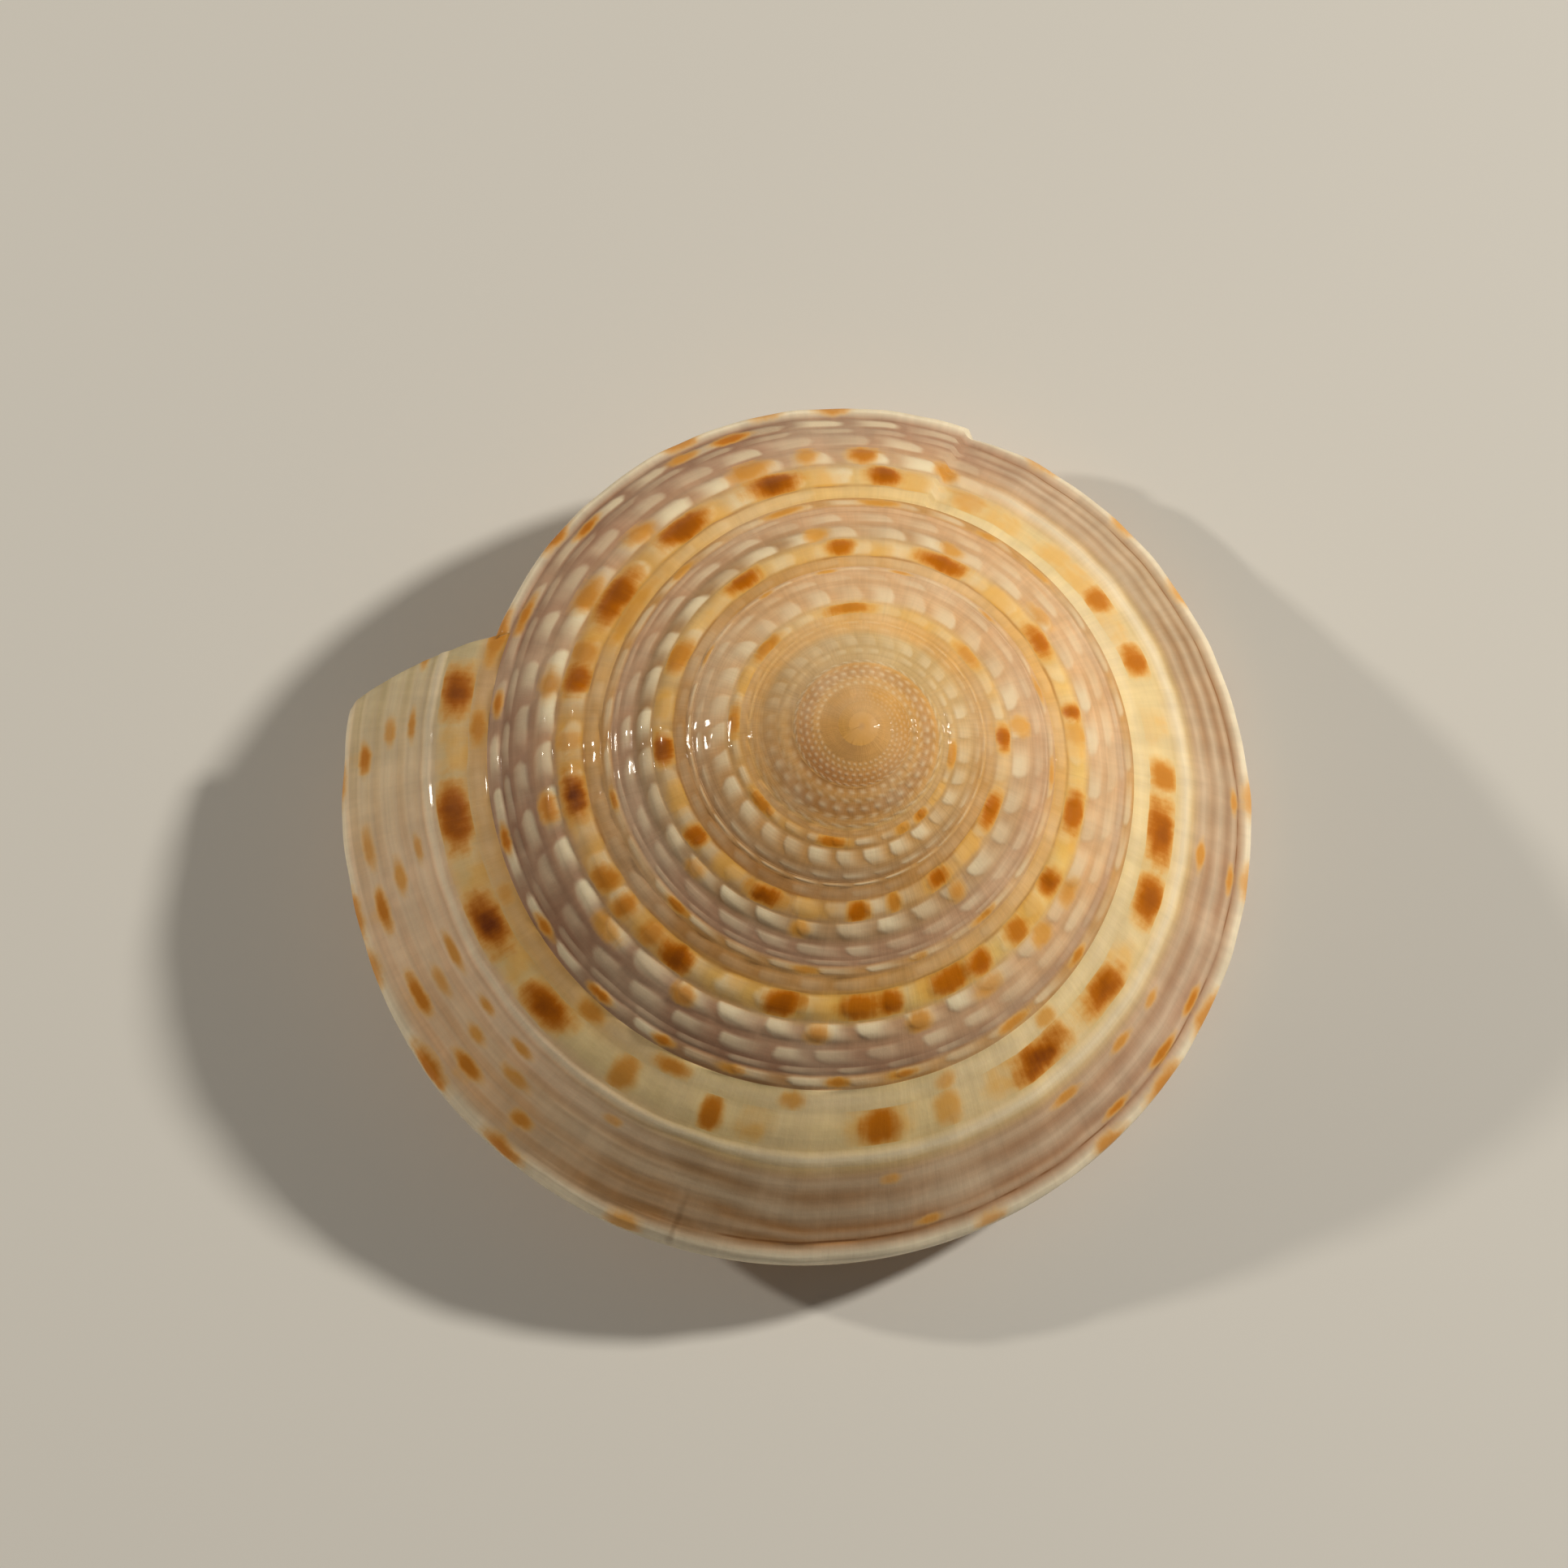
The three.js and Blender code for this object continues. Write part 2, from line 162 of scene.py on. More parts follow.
# One of them has beads: its place, half its width, degrees from bead to bead, how deep they are
# cut and how strongly they stand out in colour.
BASE_BEADED_CORD = 0.835
BASE_BEADED_WIDTH = 0.03
BASE_BEADS_APART = 11.25
BASE_BEAD_DEPTH = 0.6
BASE_BEAD_CONTRAST = 0.8
# Growth waves start past the keel's edge and end before the umbilical cord.
BASE_WAVES_FROM = (0, 0.1)
BASE_WAVES_TO = (0.85, 0.9)
KEEL_CORD = 0.006
# A growth line leans back less and less up the umbilical wall.
WALL_LEAN_PLACES = [0, 0.08, 0.5, 1]
WALL_LEANS = [FOOT_LEAN, KEEL_LEAN, SUTURE_LEAN, SUTURE_LEAN / 2]

# The tube inside: its length in degrees, and how thick its walls are. They are thinner near the
# lip, and the whorl before has only a glaze.
TUBE_LENGTH = 600
TUBE_STEP = 6
TUBE_LIP_LENGTH = 24
TUBE_WALL = 0.05
TUBE_KEEL_WALL = 0.085
TUBE_LIP_WALL = 0.035
TUBE_GLAZE = 0.018
# Corners of the tube across the upper face, the base, the umbilical wall and the whorl before.
TUBE_UPPER = [0.28, 0.5, 0.72, 0.94]
TUBE_KEEL = 0.07
TUBE_BASE = [0.2, 0.36, 0.52, 0.7, 0.86]
TUBE_UMBILICAL = [0.2, 0.5, 0.8]
TUBE_BEFORE = [0.8, 0.6, 0.38, 0.18, 0.05]
TUBE_POINTS_PER_CORNER = 3

# How the shell lies: its axis leans, and its lowest points are worn flat where it rests.
LEAN_ANGLE = 10.5
LEAN_TOWARD = -21
REST_PLACE = Vector((3.77, 2.39, 18.24))
MM_PER_M = 1000


def mix(start, end, part):
    return start + (end - start) * part


def smooth(low, high, value):
    part = np.clip((value - low) / (high - low), 0.0, 1.0)
    return part * part * (3 - 2 * part)


def suture_radius(angle):
    turn = angle / 360
    swelling = 1.0
    for centre, width, amount in SWELLINGS:
        swelling = swelling + amount * np.exp(-(((angle - centre) / width) ** 2))
    return COIL_RADIUS * np.exp(COIL_GROWTH * turn - COIL_SLOWING * turn**2) * swelling


def dome_point(radius):
    return np.stack([radius, DOME_SLOPE * radius + DOME_CURVE * radius**2], axis=-1)


def suture_point(angle):
    return dome_point(suture_radius(angle))


def past_scar(angle, across):
    return angle - SCAR_ANGLE - SCAR_LEAN * across


def scar_drop(angle, across):
    past = past_scar(angle, across)
    return np.where(past > 0, -SCAR_STEP * np.exp(-np.abs(past) / SCAR_FADE), 0.0)


def keel_point(angle):
    past = past_scar(angle, SCAR_AT_KEEL)
    notch = -NOTCH * np.exp(-np.abs(past) / NOTCH_FADE)
    flare = FLARE * np.exp(-np.abs(past) / FLARE_FADE)
    drawn = 1 - KEEL_DRAW_IN * smooth(KEEL_DRAW_FROM, KEEL_DRAW_TO, angle)
    point = dome_point(suture_radius(angle + 360) * KEEL_REACH)
    reach = point[..., 0] * drawn * (1 + np.where(past > 0, notch, flare))
    return np.stack([reach, point[..., 1] + KEEL_DROP * suture_radius(angle)], axis=-1)


def raised(start, end, part, height):
    """A point between two others, raised off the straight line to its outer side."""
    run = end - start
    outward = np.stack([run[..., 1], -run[..., 0]], axis=-1)
    outward /= np.linalg.norm(run, axis=-1, keepdims=True)
    return start + run * np.asarray(part)[..., None] + outward * np.asarray(height)[..., None]


def upper_point(angle, across, height):
    """Upper face of a whorl, from its suture at 0 to the next whorl's suture at 1."""
    arch = 4 * WHORL_CONVEXITY * across * (1 - across)
    lift = suture_radius(angle) * (arch + height)
    return raised(suture_point(angle), suture_point(angle + 360), across, lift)


def keel_face_point(angle, part, height):
    """Outer face of the keel, from the next suture at 0 to the keel's edge at 1."""
    lift = suture_radius(angle) * (KEEL_BULGE * np.sin(np.pi * part) + height)
    return raised(suture_point(angle + 360), keel_point(angle), part, lift)


def base_point(angle, across, height):
    """Base, from the keel at 0 to the umbilicus at 1, with a height that stands down from it."""
    size = suture_radius(angle)
    start = keel_point(angle)
    flatter = smooth(BASE_LIP_RISE_FROM, LIP_ANGLE - KEEL_LEAN, angle)
    depth = BASE_DEPTH * size * (1 - BASE_LIP_RISE * flatter)

    def place(part):
        falling = 1 - (1 - part / BASE_LOWEST) ** 2
        rising = 1 - BASE_RISE * ((part - BASE_LOWEST) / (1 - BASE_LOWEST)) ** 2
        fall = np.where(part < BASE_LOWEST, falling, rising)
        radius = mix(start[..., 0], UMBILICUS_RADIUS * size, part)
        return np.stack([radius, start[..., 1] + depth * fall], axis=-1)

    nearby = 0.01
    return raised(place(across - nearby), place(across + nearby), 0.5, height * size)


def umbilical_point(angle, part, height):
    """Wall of the umbilicus, from the base's inner edge at 0 to the whorl before it at 1."""
    size = suture_radius(angle)
    lower = base_point(angle, 1, 0)
    upper = base_point(angle - 360, UMBILICUS_FOOT, 0)
    return raised(lower, upper, part, size * (height - UMBILICUS_HOLLOW * np.sin(np.pi * part)))


def base_lean(across):
    return mix(KEEL_LEAN, FOOT_LEAN, across / UMBILICUS_FOOT)


def column_angle(column):
    return FIRST_ANGLE + STEP * np.asarray(column)


# Beads are counted along the coil in steps of a degree.
COUNT_ANGLES = np.arange(FIRST_ANGLE - 30, LIP_ANGLE + 30)
BEAD_COUNTS = np.cumsum(1 / np.interp(COUNT_ANGLES, BEAD_ANGLES, BEAD_SPACING))


def bead_phase(cord, angle, place):
    slant = SLANT_PART[cord] * np.interp(angle, BEAD_ANGLES, BEAD_SLANT)
    count = np.interp(angle + slant * (place - 0.5), COUNT_ANGLES, BEAD_COUNTS)
    return count + BEAD_OFFSET[cord] + BEAD_ROUNDNESS * (2 * place - 1) ** 2


def bead_cut(phase):
    """0 on a bead and 1 in the cut between two beads, which repeats with every whole phase."""
    off_centre = 2 * np.abs(phase - np.floor(phase) - 0.5)
    return smooth(1 - BEAD_CUT, 1.0, off_centre)


def tile_cut(phase):
    """0 on the high part of a tile-like bead and 1 at its steep edge, at every whole phase."""
    part = phase - np.floor(phase)
    return 1 - smooth(0, TILE_RISE, part) * (1 - smooth(TILE_DROP, 1.0, part))


# Colours of the shell, in sRGB steps of 255.
PALETTE = {
    "nucleus": (228, 170, 88), "rust": (194, 136, 80), "fawn": (212, 160, 96),
    "green_cream": (218, 184, 126), "cream": (242, 199, 126), "yellow": (250, 205, 106),
    "ivory": (242, 211, 150), "peach": (230, 184, 134), "lilac": (206, 163, 126),
    "mauve": (192, 150, 120), "plum": (166, 126, 99), "orange_tan": (236, 184, 110),
    "tan": (178, 140, 98), "umber": (186, 133, 76), "porcelain": (248, 233, 203),
    "grey_cream": (218, 200, 152), "butter": (247, 220, 162), "blush": (248, 208, 168),
}
# Which of them the cords have, at rising angles from the nucleus to the lip. The last one named
# goes on to the outer cords. Among beads it is the colour between them.
COLOUR_STAGES = [
    (-1800, "nucleus"),
    (-1690, "fawn"),
    (-1480, "nucleus"),
    (-1310, "fawn fawn rust rust rust fawn"),
    (-1140, "orange_tan nucleus fawn nucleus green_cream"),
    (-950, "umber fawn umber fawn fawn orange_tan"),
    (-790, "green_cream green_cream green_cream orange_tan"),
    (-620, "fawn fawn fawn tan umber fawn"),
    (-440, "orange_tan cream peach"),
    (-240, "umber fawn tan mauve mauve fawn"),
    (-140, "fawn cream tan lilac lilac fawn"),
    (-40, "orange_tan cream peach peach peach fawn"),
    (30, "orange_tan yellow peach peach lilac fawn"),
    (90, "fawn yellow lilac mauve plum fawn"),
    (140, "umber orange_tan mauve plum"),
    (200, "orange_tan orange_tan lilac mauve plum mauve"),
    (262, "cream cream lilac mauve plum"),
    (292, "butter butter peach lilac mauve"),
    (330, "butter butter ivory tan"),
    (400, "butter butter ivory lilac mauve"),
    # At 470, low on the last whorl where it faces away from the lights, the tan and umber of the
    # outer cords are partly painted shade.
    (470, "butter butter ivory tan tan umber"),
    (500, "orange_tan butter blush blush peach"),
    (530, "orange_tan butter blush"),
    (562, "fawn grey_cream"),
]
# Grooves are painted a little darker, as painted shade in the hollows between cords. That begins,
# and the colour of beads ends, closer to the edges of a cord for a higher power.
PAINTED_GROOVE_SHADE = 0.95
GROOVE_POWER = 4
BEAD_POWER = 6
# Past the healed break a pale line runs along the crests of the cords: how wide and how light.
CREST_WIDTH = [1, 1, 1.2, 0.6, 0.6, 0.6]
CREST_LIGHT = [0.2, 0, 0.7, 0.4, 0.45, 0.4]
# Each cord keeps its colour from this part of its width on, and blends into the next outside it.
PLAIN_PART = 0.25

# Yellow stains on the main cord: angle and half width in degrees.
STAINS = [
    (-684, 8), (-594, 8), (-512, 7), (-425, 9), (-382, 6), (-317, 6), (-256, 6), (-226, 6),
    (-197, 5), (-167, 5), (-132, 5), (-104, 4), (-84, 5), (-48, 6), (-4, 5), (22, 4), (41, 4),
    (72, 4), (95, 4), (112, 5), (141, 4), (157, 5), (186, 4), (206, 4), (226, 5), (243, 4),
    (265, 6), (284, 4), (297, 9), (317, 7), (330, 4), (351, 3), (376, 4), (394, 3), (421, 4),
    (444, 5), (464, 2.5), (510, 4), (526, 4), (544, 4),
]
# Brown marks on each cord: angle, half width in degrees, and tone, from 0 pale to 1 dark.
MARKS = {
    "thread": [
        (215, 10, 0.2), (411, 2, 0.2), (432, 2, 0.15), (459, 2, 0.2), (480, 3, 0.45),
        (496, 2.5, 0.4), (520, 2, 0.2), (548, 3, 0.4), (563, 4, 0.4),
    ],
    "main": [
        (-708, 8, 0.25), (-668, 4, 0.35), (-655, 4, 0.2), (-617, 9, 0.4), (-576, 8, 0.35),
        (-533, 8, 0.3), (-493, 9, 0.3), (-452, 10, 0.35), (-397, 7, 0.25), (-362, 5, 0.55),
        (-334, 7, 0.5), (-301, 4.5, 0.65), (-283.5, 2.5, 0.3), (-271, 3.5, 0.5),
        (-239, 6, 0.85), (-211, 4, 0.5), (-181, 5, 0.75), (-152, 5.5, 0.3), (-122, 6.5, 0.6),
        (-92, 4, 0.45), (-64, 7, 0.6), (-31, 5, 0.5), (-11.5, 2.2, 0.6), (-6, 3, 0.1),
        (14, 6, 0.5), (32.5, 3.6, 0.65), (46.5, 3, 0.4), (58, 3, 0.6), (65.5, 6, 0.5),
        (81, 3.5, 0.6), (88, 5, 0.45), (105, 4.5, 0.7), (130.5, 4.2, 0.8), (137, 3.5, 0.3),
        (146, 2.5, 0.35), (153, 3.5, 0.35), (172.5, 5.6, 1.0), (184, 2.3, 0.15),
        (197, 3.6, 0.65), (203, 3, 0.25), (217, 7.5, 0.75), (236.5, 6.3, 0.72),
        (257, 5.8, 0.85), (278.5, 3.4, 0.7), (295, 3.5, 0.1), (325.5, 2.4, 0.4),
        (338.5, 3, 0.45), (360, 2.6, 0.35), (370, 6.2, 0.75), (381.5, 4.2, 0.72),
        (399.5, 5, 0.78), (415, 5.2, 0.95), (432.5, 2.2, 0.0), (444, 3, 0.45),
        (471, 1.6, 0.4), (486, 2, 0.25), (502, 4.3, 0.8), (517, 5.2, 1.0), (535, 5.6, 0.82),
        (554, 4, 0.85),
    ],
    "pale": [
        (-367, 3, 0.1), (-305, 3, 0.3), (-254, 3, 0.2), (-218, 3, 0.15), (-98, 3, 0.15),
        (-64, 3, 0.15), (-37, 3.5, 0.2), (31, 3, 0.25), (42.5, 2.5, 0.2), (58.5, 3.5, 0.2),
        (75, 2.4, 0.3), (96.5, 2.5, 0.35), (124.5, 2.2, 0.35), (145, 3.5, 0.15),
        (171.5, 2.8, 0.45), (195.5, 3, 0.25), (214.5, 3.8, 0.35), (230, 3, 0.3),
        (254, 3.8, 0.3), (264.5, 2, 0.25), (274.5, 2.8, 0.5), (289.5, 2, 0.3),
    ],
    "third": [
        (371, 2.2, 0.4), (394.5, 1.5, 0.3), (402.5, 2.1, 0.4), (414, 2.5, 0.4),
        (442.5, 1.4, 0.1), (483.5, 1.4, 0.1), (500, 1.8, 0.35), (507.5, 1.6, 0.35),
        (516.5, 2.7, 0.4), (532, 2, 0.3), (549.5, 2.1, 0.45), (559, 1.5, 0.3),
    ],
    "band": [
        (497.5, 2.1, 0.3), (505.5, 1.5, 0.3), (514, 2, 0.3), (529, 2.2, 0.3), (548.5, 1.8, 0.3),
    ],
    "upper": [
        (-508, 4, 0.25), (-479, 2.4, 0.2), (-458, 3.2, 0.2), (-434, 3.2, 0.3), (-405, 3.2, 0.2),
        (-378, 4, 0.2), (-353, 4.8, 0.25), (-309, 4, 0.4), (-288, 2.4, 0.2), (-258, 3.6, 0.3),
        (-222, 3.2, 0.5), (-191.5, 2.8, 0.5), (-131, 3.2, 0.25), (-103, 4, 0.3), (-82, 4, 0.25),
        (-58, 2, 0.25), (-45, 2.8, 0.1), (39, 2.2, 0.45), (57, 3.2, 0.35), (79, 2.6, 0.45),
        (91.5, 1.8, 0.4), (110, 2.6, 0.3), (123.5, 2.1, 0.5), (137, 2.6, 0.55), (152, 2.6, 0.5),
        (168.5, 2.6, 0.55), (192, 2.2, 0.5), (208, 3.2, 0.45), (226, 2.7, 0.55),
        (245.5, 2.4, 0.3), (254, 2.9, 0.55), (361, 1.6, 0.3), (372, 1.9, 0.35), (390, 1.9, 0.5),
        (398.5, 2.4, 0.5), (408, 2.1, 0.5), (437.5, 1.6, 0.3), (493.5, 1.6, 0.4), (503.5, 2.2, 0.5),
        (514, 2.6, 0.5), (526, 2.7, 0.5), (534, 2.7, 0.25), (545.5, 1.9, 0.5),
    ],
    "keel": [
        (204, 4, 0.5), (222, 3, 0.6), (246.5, 2.6, 0.45), (260, 2.4, 0.3), (270.5, 2.4, 0.45),
        (302, 2.4, 0.2), (317, 2.2, 0.2), (329, 2.2, 0.2), (360, 2.4, 0.3), (371.5, 2.4, 0.3),
        (390, 3, 0.45), (401, 3, 0.5), (411, 2.4, 0.45), (429.5, 2.2, 0.3), (476, 2.4, 0.25),
        (493, 2.8, 0.6), (506, 3.2, 0.65), (520, 2.2, 0.4), (527, 2.6, 0.5), (543, 2.6, 0.4),
    ],
}
# How far marks keep to the middle of a cord, how round they are, and how much of their tone shows.
MARK_TRAITS = {
    "thread": (1.2, 2, 0.7), "main": (0.8, 2.6, 1), "pale": (1.2, 2, 0.75), "third": (5, 2, 0.6),
    "band": (5, 2, 0.6), "upper": (1.8, 2, 0.75), "keel": (2.4, 2, 0.6),
}
# Places across a cord. Faces that have no cords use one of them throughout. Marks lie in the middle
# of their cord, and stains here.
CORD_MIDDLE = 0.5
CORD_EDGE = 1.0
STAIN_MIDDLE = 0.38
# Where marks meet, the tone of the deeper one counts more, and sharper so for a higher number.
TONE_SHARPNESS = 8
FARTHEST_DEPTH = -2
LEAST_WEIGHT = 1e-9
# Far from all marks: depth inside them, their tone, and depth inside stains.
NO_MARKS = (-1.0, 0.0, -1.0)


def linear(colour):
    """A colour given in sRGB steps of 255 as linear light."""
    part = np.asarray(colour) / 255
    return np.where(part <= 0.04045, part / 12.92, ((part + 0.055) / 1.055) ** 2.4)


def blended(at, places, colours):
    """Colours between those at the given places."""
    return np.stack([np.interp(at, places, part) for part in colours.T], axis=-1)


def cord_colours(cord, angle):
    """Colour of the middle of a cord at these angles."""
    angles, names = zip(*COLOUR_STAGES)
    colours = linear([PALETTE[named.split()[:cord + 1][-1]] for named in names])
    return blended(angle, angles, colours)


def ground_colours(angle, across, bounds):
    """Colours of columns of the upper face, which blend from the middle of a cord to the next."""
    colours = []
    knots = []
    for cord in range(len(CORD_NAMES)):
        shade = cord_colours(cord, angle)
        inner = bounds[:, 2 * cord + 1]
        outer = bounds[:, 2 * cord + 2]
        knots += [mix(inner, outer, PLAIN_PART), mix(outer, inner, PLAIN_PART)]
        colours += [shade, shade]
    knots = np.stack(knots, axis=1)
    colours = np.stack(colours, axis=1)
    return np.stack([blended(*column) for column in zip(across, knots, colours)])


def depth_inside(along, off_row):
    """1 at the middle of a mark, 0 at its edge and less outside."""
    return 1 - np.sqrt(along**2 + off_row)


def mark_facts(name, angle, place):
    """Depth inside the brown marks of a row, their tone there, and depth inside its stains."""
    squeeze, roundness, strength = MARK_TRAITS[name]

    def off_row(middle):
        return squeeze * np.abs(2 * (place - middle)) ** roundness

    depth, tones, stain = (np.full(angle.shape, outside) for outside in NO_MARKS)
    weights = np.full(angle.shape, LEAST_WEIGHT)
    for centre, half_width, darkness in MARKS[name]:
        inside = depth_inside((angle - centre) / half_width, off_row(CORD_MIDDLE))
        weight = np.exp(TONE_SHARPNESS * np.clip(inside, FARTHEST_DEPTH, 1))
        weights = weights + weight
        tones = tones + darkness * weight
        depth = np.maximum(inside, depth)
    if name == "main":
        for centre, half_width in STAINS:
            inside = depth_inside((angle - centre) / half_width, off_row(STAIN_MIDDLE))
            stain = np.maximum(inside, stain)
    return depth, tones / weights * strength, stain


class Skin:
    """Vertices, the corners that share them, and the faces between corners."""

    def __init__(self):
        self.places = []
        self.vertex_count = 0
        self.vertices = []
        self.facts = []
        self.corner_count = 0
        self.quads = []
        self.triangles = []

    def add_vertices(self, angle, point):
        turned = np.radians(angle)
        radius = point[..., 0]
        place = [radius * np.cos(turned), -radius * np.sin(turned), -point[..., 1]]
        self.places.append(np.stack(place, axis=-1).reshape(-1, 3))
        first = self.vertex_count
        self.vertex_count += self.places[-1].shape[0]
        return np.arange(first, self.vertex_count).reshape(radius.shape)

    def add_corners(self, vertices, facts):
        """Corners on these vertices. Each has a row of facts, by which its face is coloured."""
        self.vertices.append(vertices.ravel())
        self.facts.append(facts.reshape(-1, facts.shape[-1]))
        first = self.corner_count
        self.corner_count += vertices.size
        return np.arange(first, self.corner_count).reshape(vertices.shape)

    def weave(self, rows):
        """Quads between neighbouring rows of corners of the same length."""
        quads = [rows[:-1, :-1], rows[1:, :-1], rows[1:, 1:], rows[:-1, 1:]]
        self.quads.append(np.stack(quads, axis=-1).reshape(-1, 4))

    def bridge(self, first, first_at, second, second_at):
        """Triangles between two rows of corners whose places rise along both."""
        one = 0
        other = 0
        while one < len(first) - 1 or other < len(second) - 1:
            one_next = first_at[one + 1] if one < len(first) - 1 else math.inf
            other_next = second_at[other + 1] if other < len(second) - 1 else math.inf
            if one_next <= other_next:
                self.triangles.append((first[one], second[other], first[one + 1]))
                one += 1
            else:
                self.triangles.append((first[one], second[other], second[other + 1]))
                other += 1

    def fan(self, loop, centre):
        self.triangles += [(start, end, centre) for start, end in zip(loop[:-1], loop[1:])]


# How strongly the beads of each cord stand out in colour, and how much fainter they get towards
# its outer edge. That fading is painted shade, each bead painted lighter above and darker below.
BEAD_CONTRAST = [0.15, 0.6, 1, 0.6, 0.25, 0.6]
BEAD_PAINTED_SHADE = [0, 0, 0.55, 0.5, 0, 0]
# How strongly all beads stand out along the coil: angle, part.
CONTRAST_STAGES = [
    (-1430, 0), (-1300, 0.15), (-900, 0.15), (-760, 0.35), (-640, 0.8), (-540, 0.7), (-450, 0.45),
    (-330, 0.6), (-250, 0.9), (-150, 0.8), (-30, 0.6), (30, 0.65), (90, 1), (288, 0.9), (300, 0),
]
# Points across a whorl get closer as it grows: from this angle on, points per whorl width.
FINENESS = [(-2100, 6), (-1260, 10), (-880, 15), (-520, 24), (-160, 33), (200, 45)]
# The heights are softened once for this many points per whorl width.
POINTS_PER_SOFTENING = 15
# Low waves of growth over the whole shell: degrees apart, height.
GROWTH_WAVES = [(7.3, 0.0009), (11.9, 0.0012), (19.7, 0.0014)]
# Points across the keel's outer face, between the ridges of the base, on the umbilical cord and
# up the umbilical wall.
KEEL_FACE_POINTS = 7
BASE_SEGMENTS = [2, 3, 3, 3, 4, 4, 4, 4, 3]
RIDGE_PLACES = [0.918, 0.937, 0.955, 0.973, 0.99]
WALL_PLACES = [0.1, 0.35, 0.6, 0.85]

# The keel's face is white from this place on, and the base has these colours from there inwards.
KEEL_WHITE_FROM = 0.35
BASE_COLOURS = [
    (0, "porcelain"), (0.06, "lilac"), (0.08, "porcelain"), (0.12, "lilac"), (0.2, "cream"),
    (0.5, "lilac"), (0.78, "mauve"), (0.83, "porcelain"), (0.9, "mauve"),
]
# The white line round the umbilicus: its middle, from the base's inner edge on, and its width.
RIDGE_WHITE = -0.05
RIDGE_WHITE_WIDTH = 0.06
# Rows of marks on the base: place across, half height, degrees apart, half width, tone.
BASE_MARK_ROWS = [(0.08, 0.03, 13, 3.2, 0.55), (0.2, 0.03, 29, 3, 0.2), (0.72, 0.03, 17, 3, 0.35)]
# They sway along their row by this part of their spacing, and slower for a longer period.
BASE_MARK_SWING = 0.35
BASE_MARK_PERIOD = 1.7

# The facts of a face count its place across on from here. On the upper face it goes from 0 to 1.
KEEL_FACE = 1
BASE_FACE = 2
UMBILICAL_FACE = 3
TOP_FACE = 4
TUBE_FACE = 5
LIP_FACE = 6
NUCLEUS_ACROSS = 0.5
KEEL_FACE_WIDTH = 0.25

FACTS_PER_CORNER = 12


def corner_facts(
    angle, across, colour, marks=NO_MARKS, phase=0.0, contrast=0.0, cord_place=CORD_EDGE, cord=0
):
    """The row of facts of each corner, as the material reads them."""
    numbers = np.broadcast_arrays(angle / 360, across, phase, *marks, contrast, cord_place, cord)
    colour = np.broadcast_to(colour, numbers[0].shape + (3,))
    return np.concatenate([np.stack(numbers, axis=-1), colour], axis=-1)


def growth_wave(angle):
    return sum(high * np.sin(2 * np.pi * angle / apart) for apart, high in GROWTH_WAVES)


def strip_edges(angle):
    """Places across where the strips of the upper face meet, which are grooves and cords."""
    angles, *edges = zip(*CORD_STAGES)
    edges = [np.interp(angle, angles, edge) for edge in edges]
    return np.stack([np.zeros(len(angle)), *edges, np.ones(len(angle))], axis=-1)


def upper_layout(fineness):
    """The points across a whorl: number of the strip, and part of its width."""
    widths = np.diff(strip_edges([angle for angle, *_ in CORD_STAGES]), axis=1).max(axis=0)
    layout = []
    for strip, width in enumerate(widths):
        count = max(1, round(width * fineness))
        layout += [(strip, point / count) for point in range(count)]
    layout.append((len(widths) - 1, 1.0))
    return np.array(layout).T


def softened(height):
    """Heights blended with those beside them, so that the foot of a cord has no sharp line."""
    inner = (height[:, :-2] + 2 * height[:, 1:-1] + height[:, 2:]) / 4
    return np.concatenate([height[:, :1], inner, height[:, -1:]], axis=1)


def crest(place, power):
    """1 on the crest of a cord and 0 at both its edges, steeper there for a higher power."""
    return 1 - np.abs(2 * place - 1) ** power


def cord_height(cord, place, phase, beaded, smoother):
    body = crest(place, CORD_SQUARENESS[cord]) ** CORD_SOFTNESS
    bead = 1 - BEAD_DEPTH[cord] * beaded * tile_cut(phase)
    return (CORD_HEIGHT[cord] + GROOVE) * body * bead * mix(1, SMOOTHER, smoother) - GROOVE


def cord_colour(cord, place, ground, smoother):
    """Ground colour of a cord, painted darker to its grooves as shade, with a pale crest where it
    is smoother.
    """
    colour = ground * mix(PAINTED_GROOVE_SHADE, 1, crest(place, GROOVE_POWER))[:, None]
    pale = CREST_LIGHT[cord] * crest(place, CREST_WIDTH[cord]) * smoother
    return mix(colour, linear(PALETTE["porcelain"]), pale[..., None])


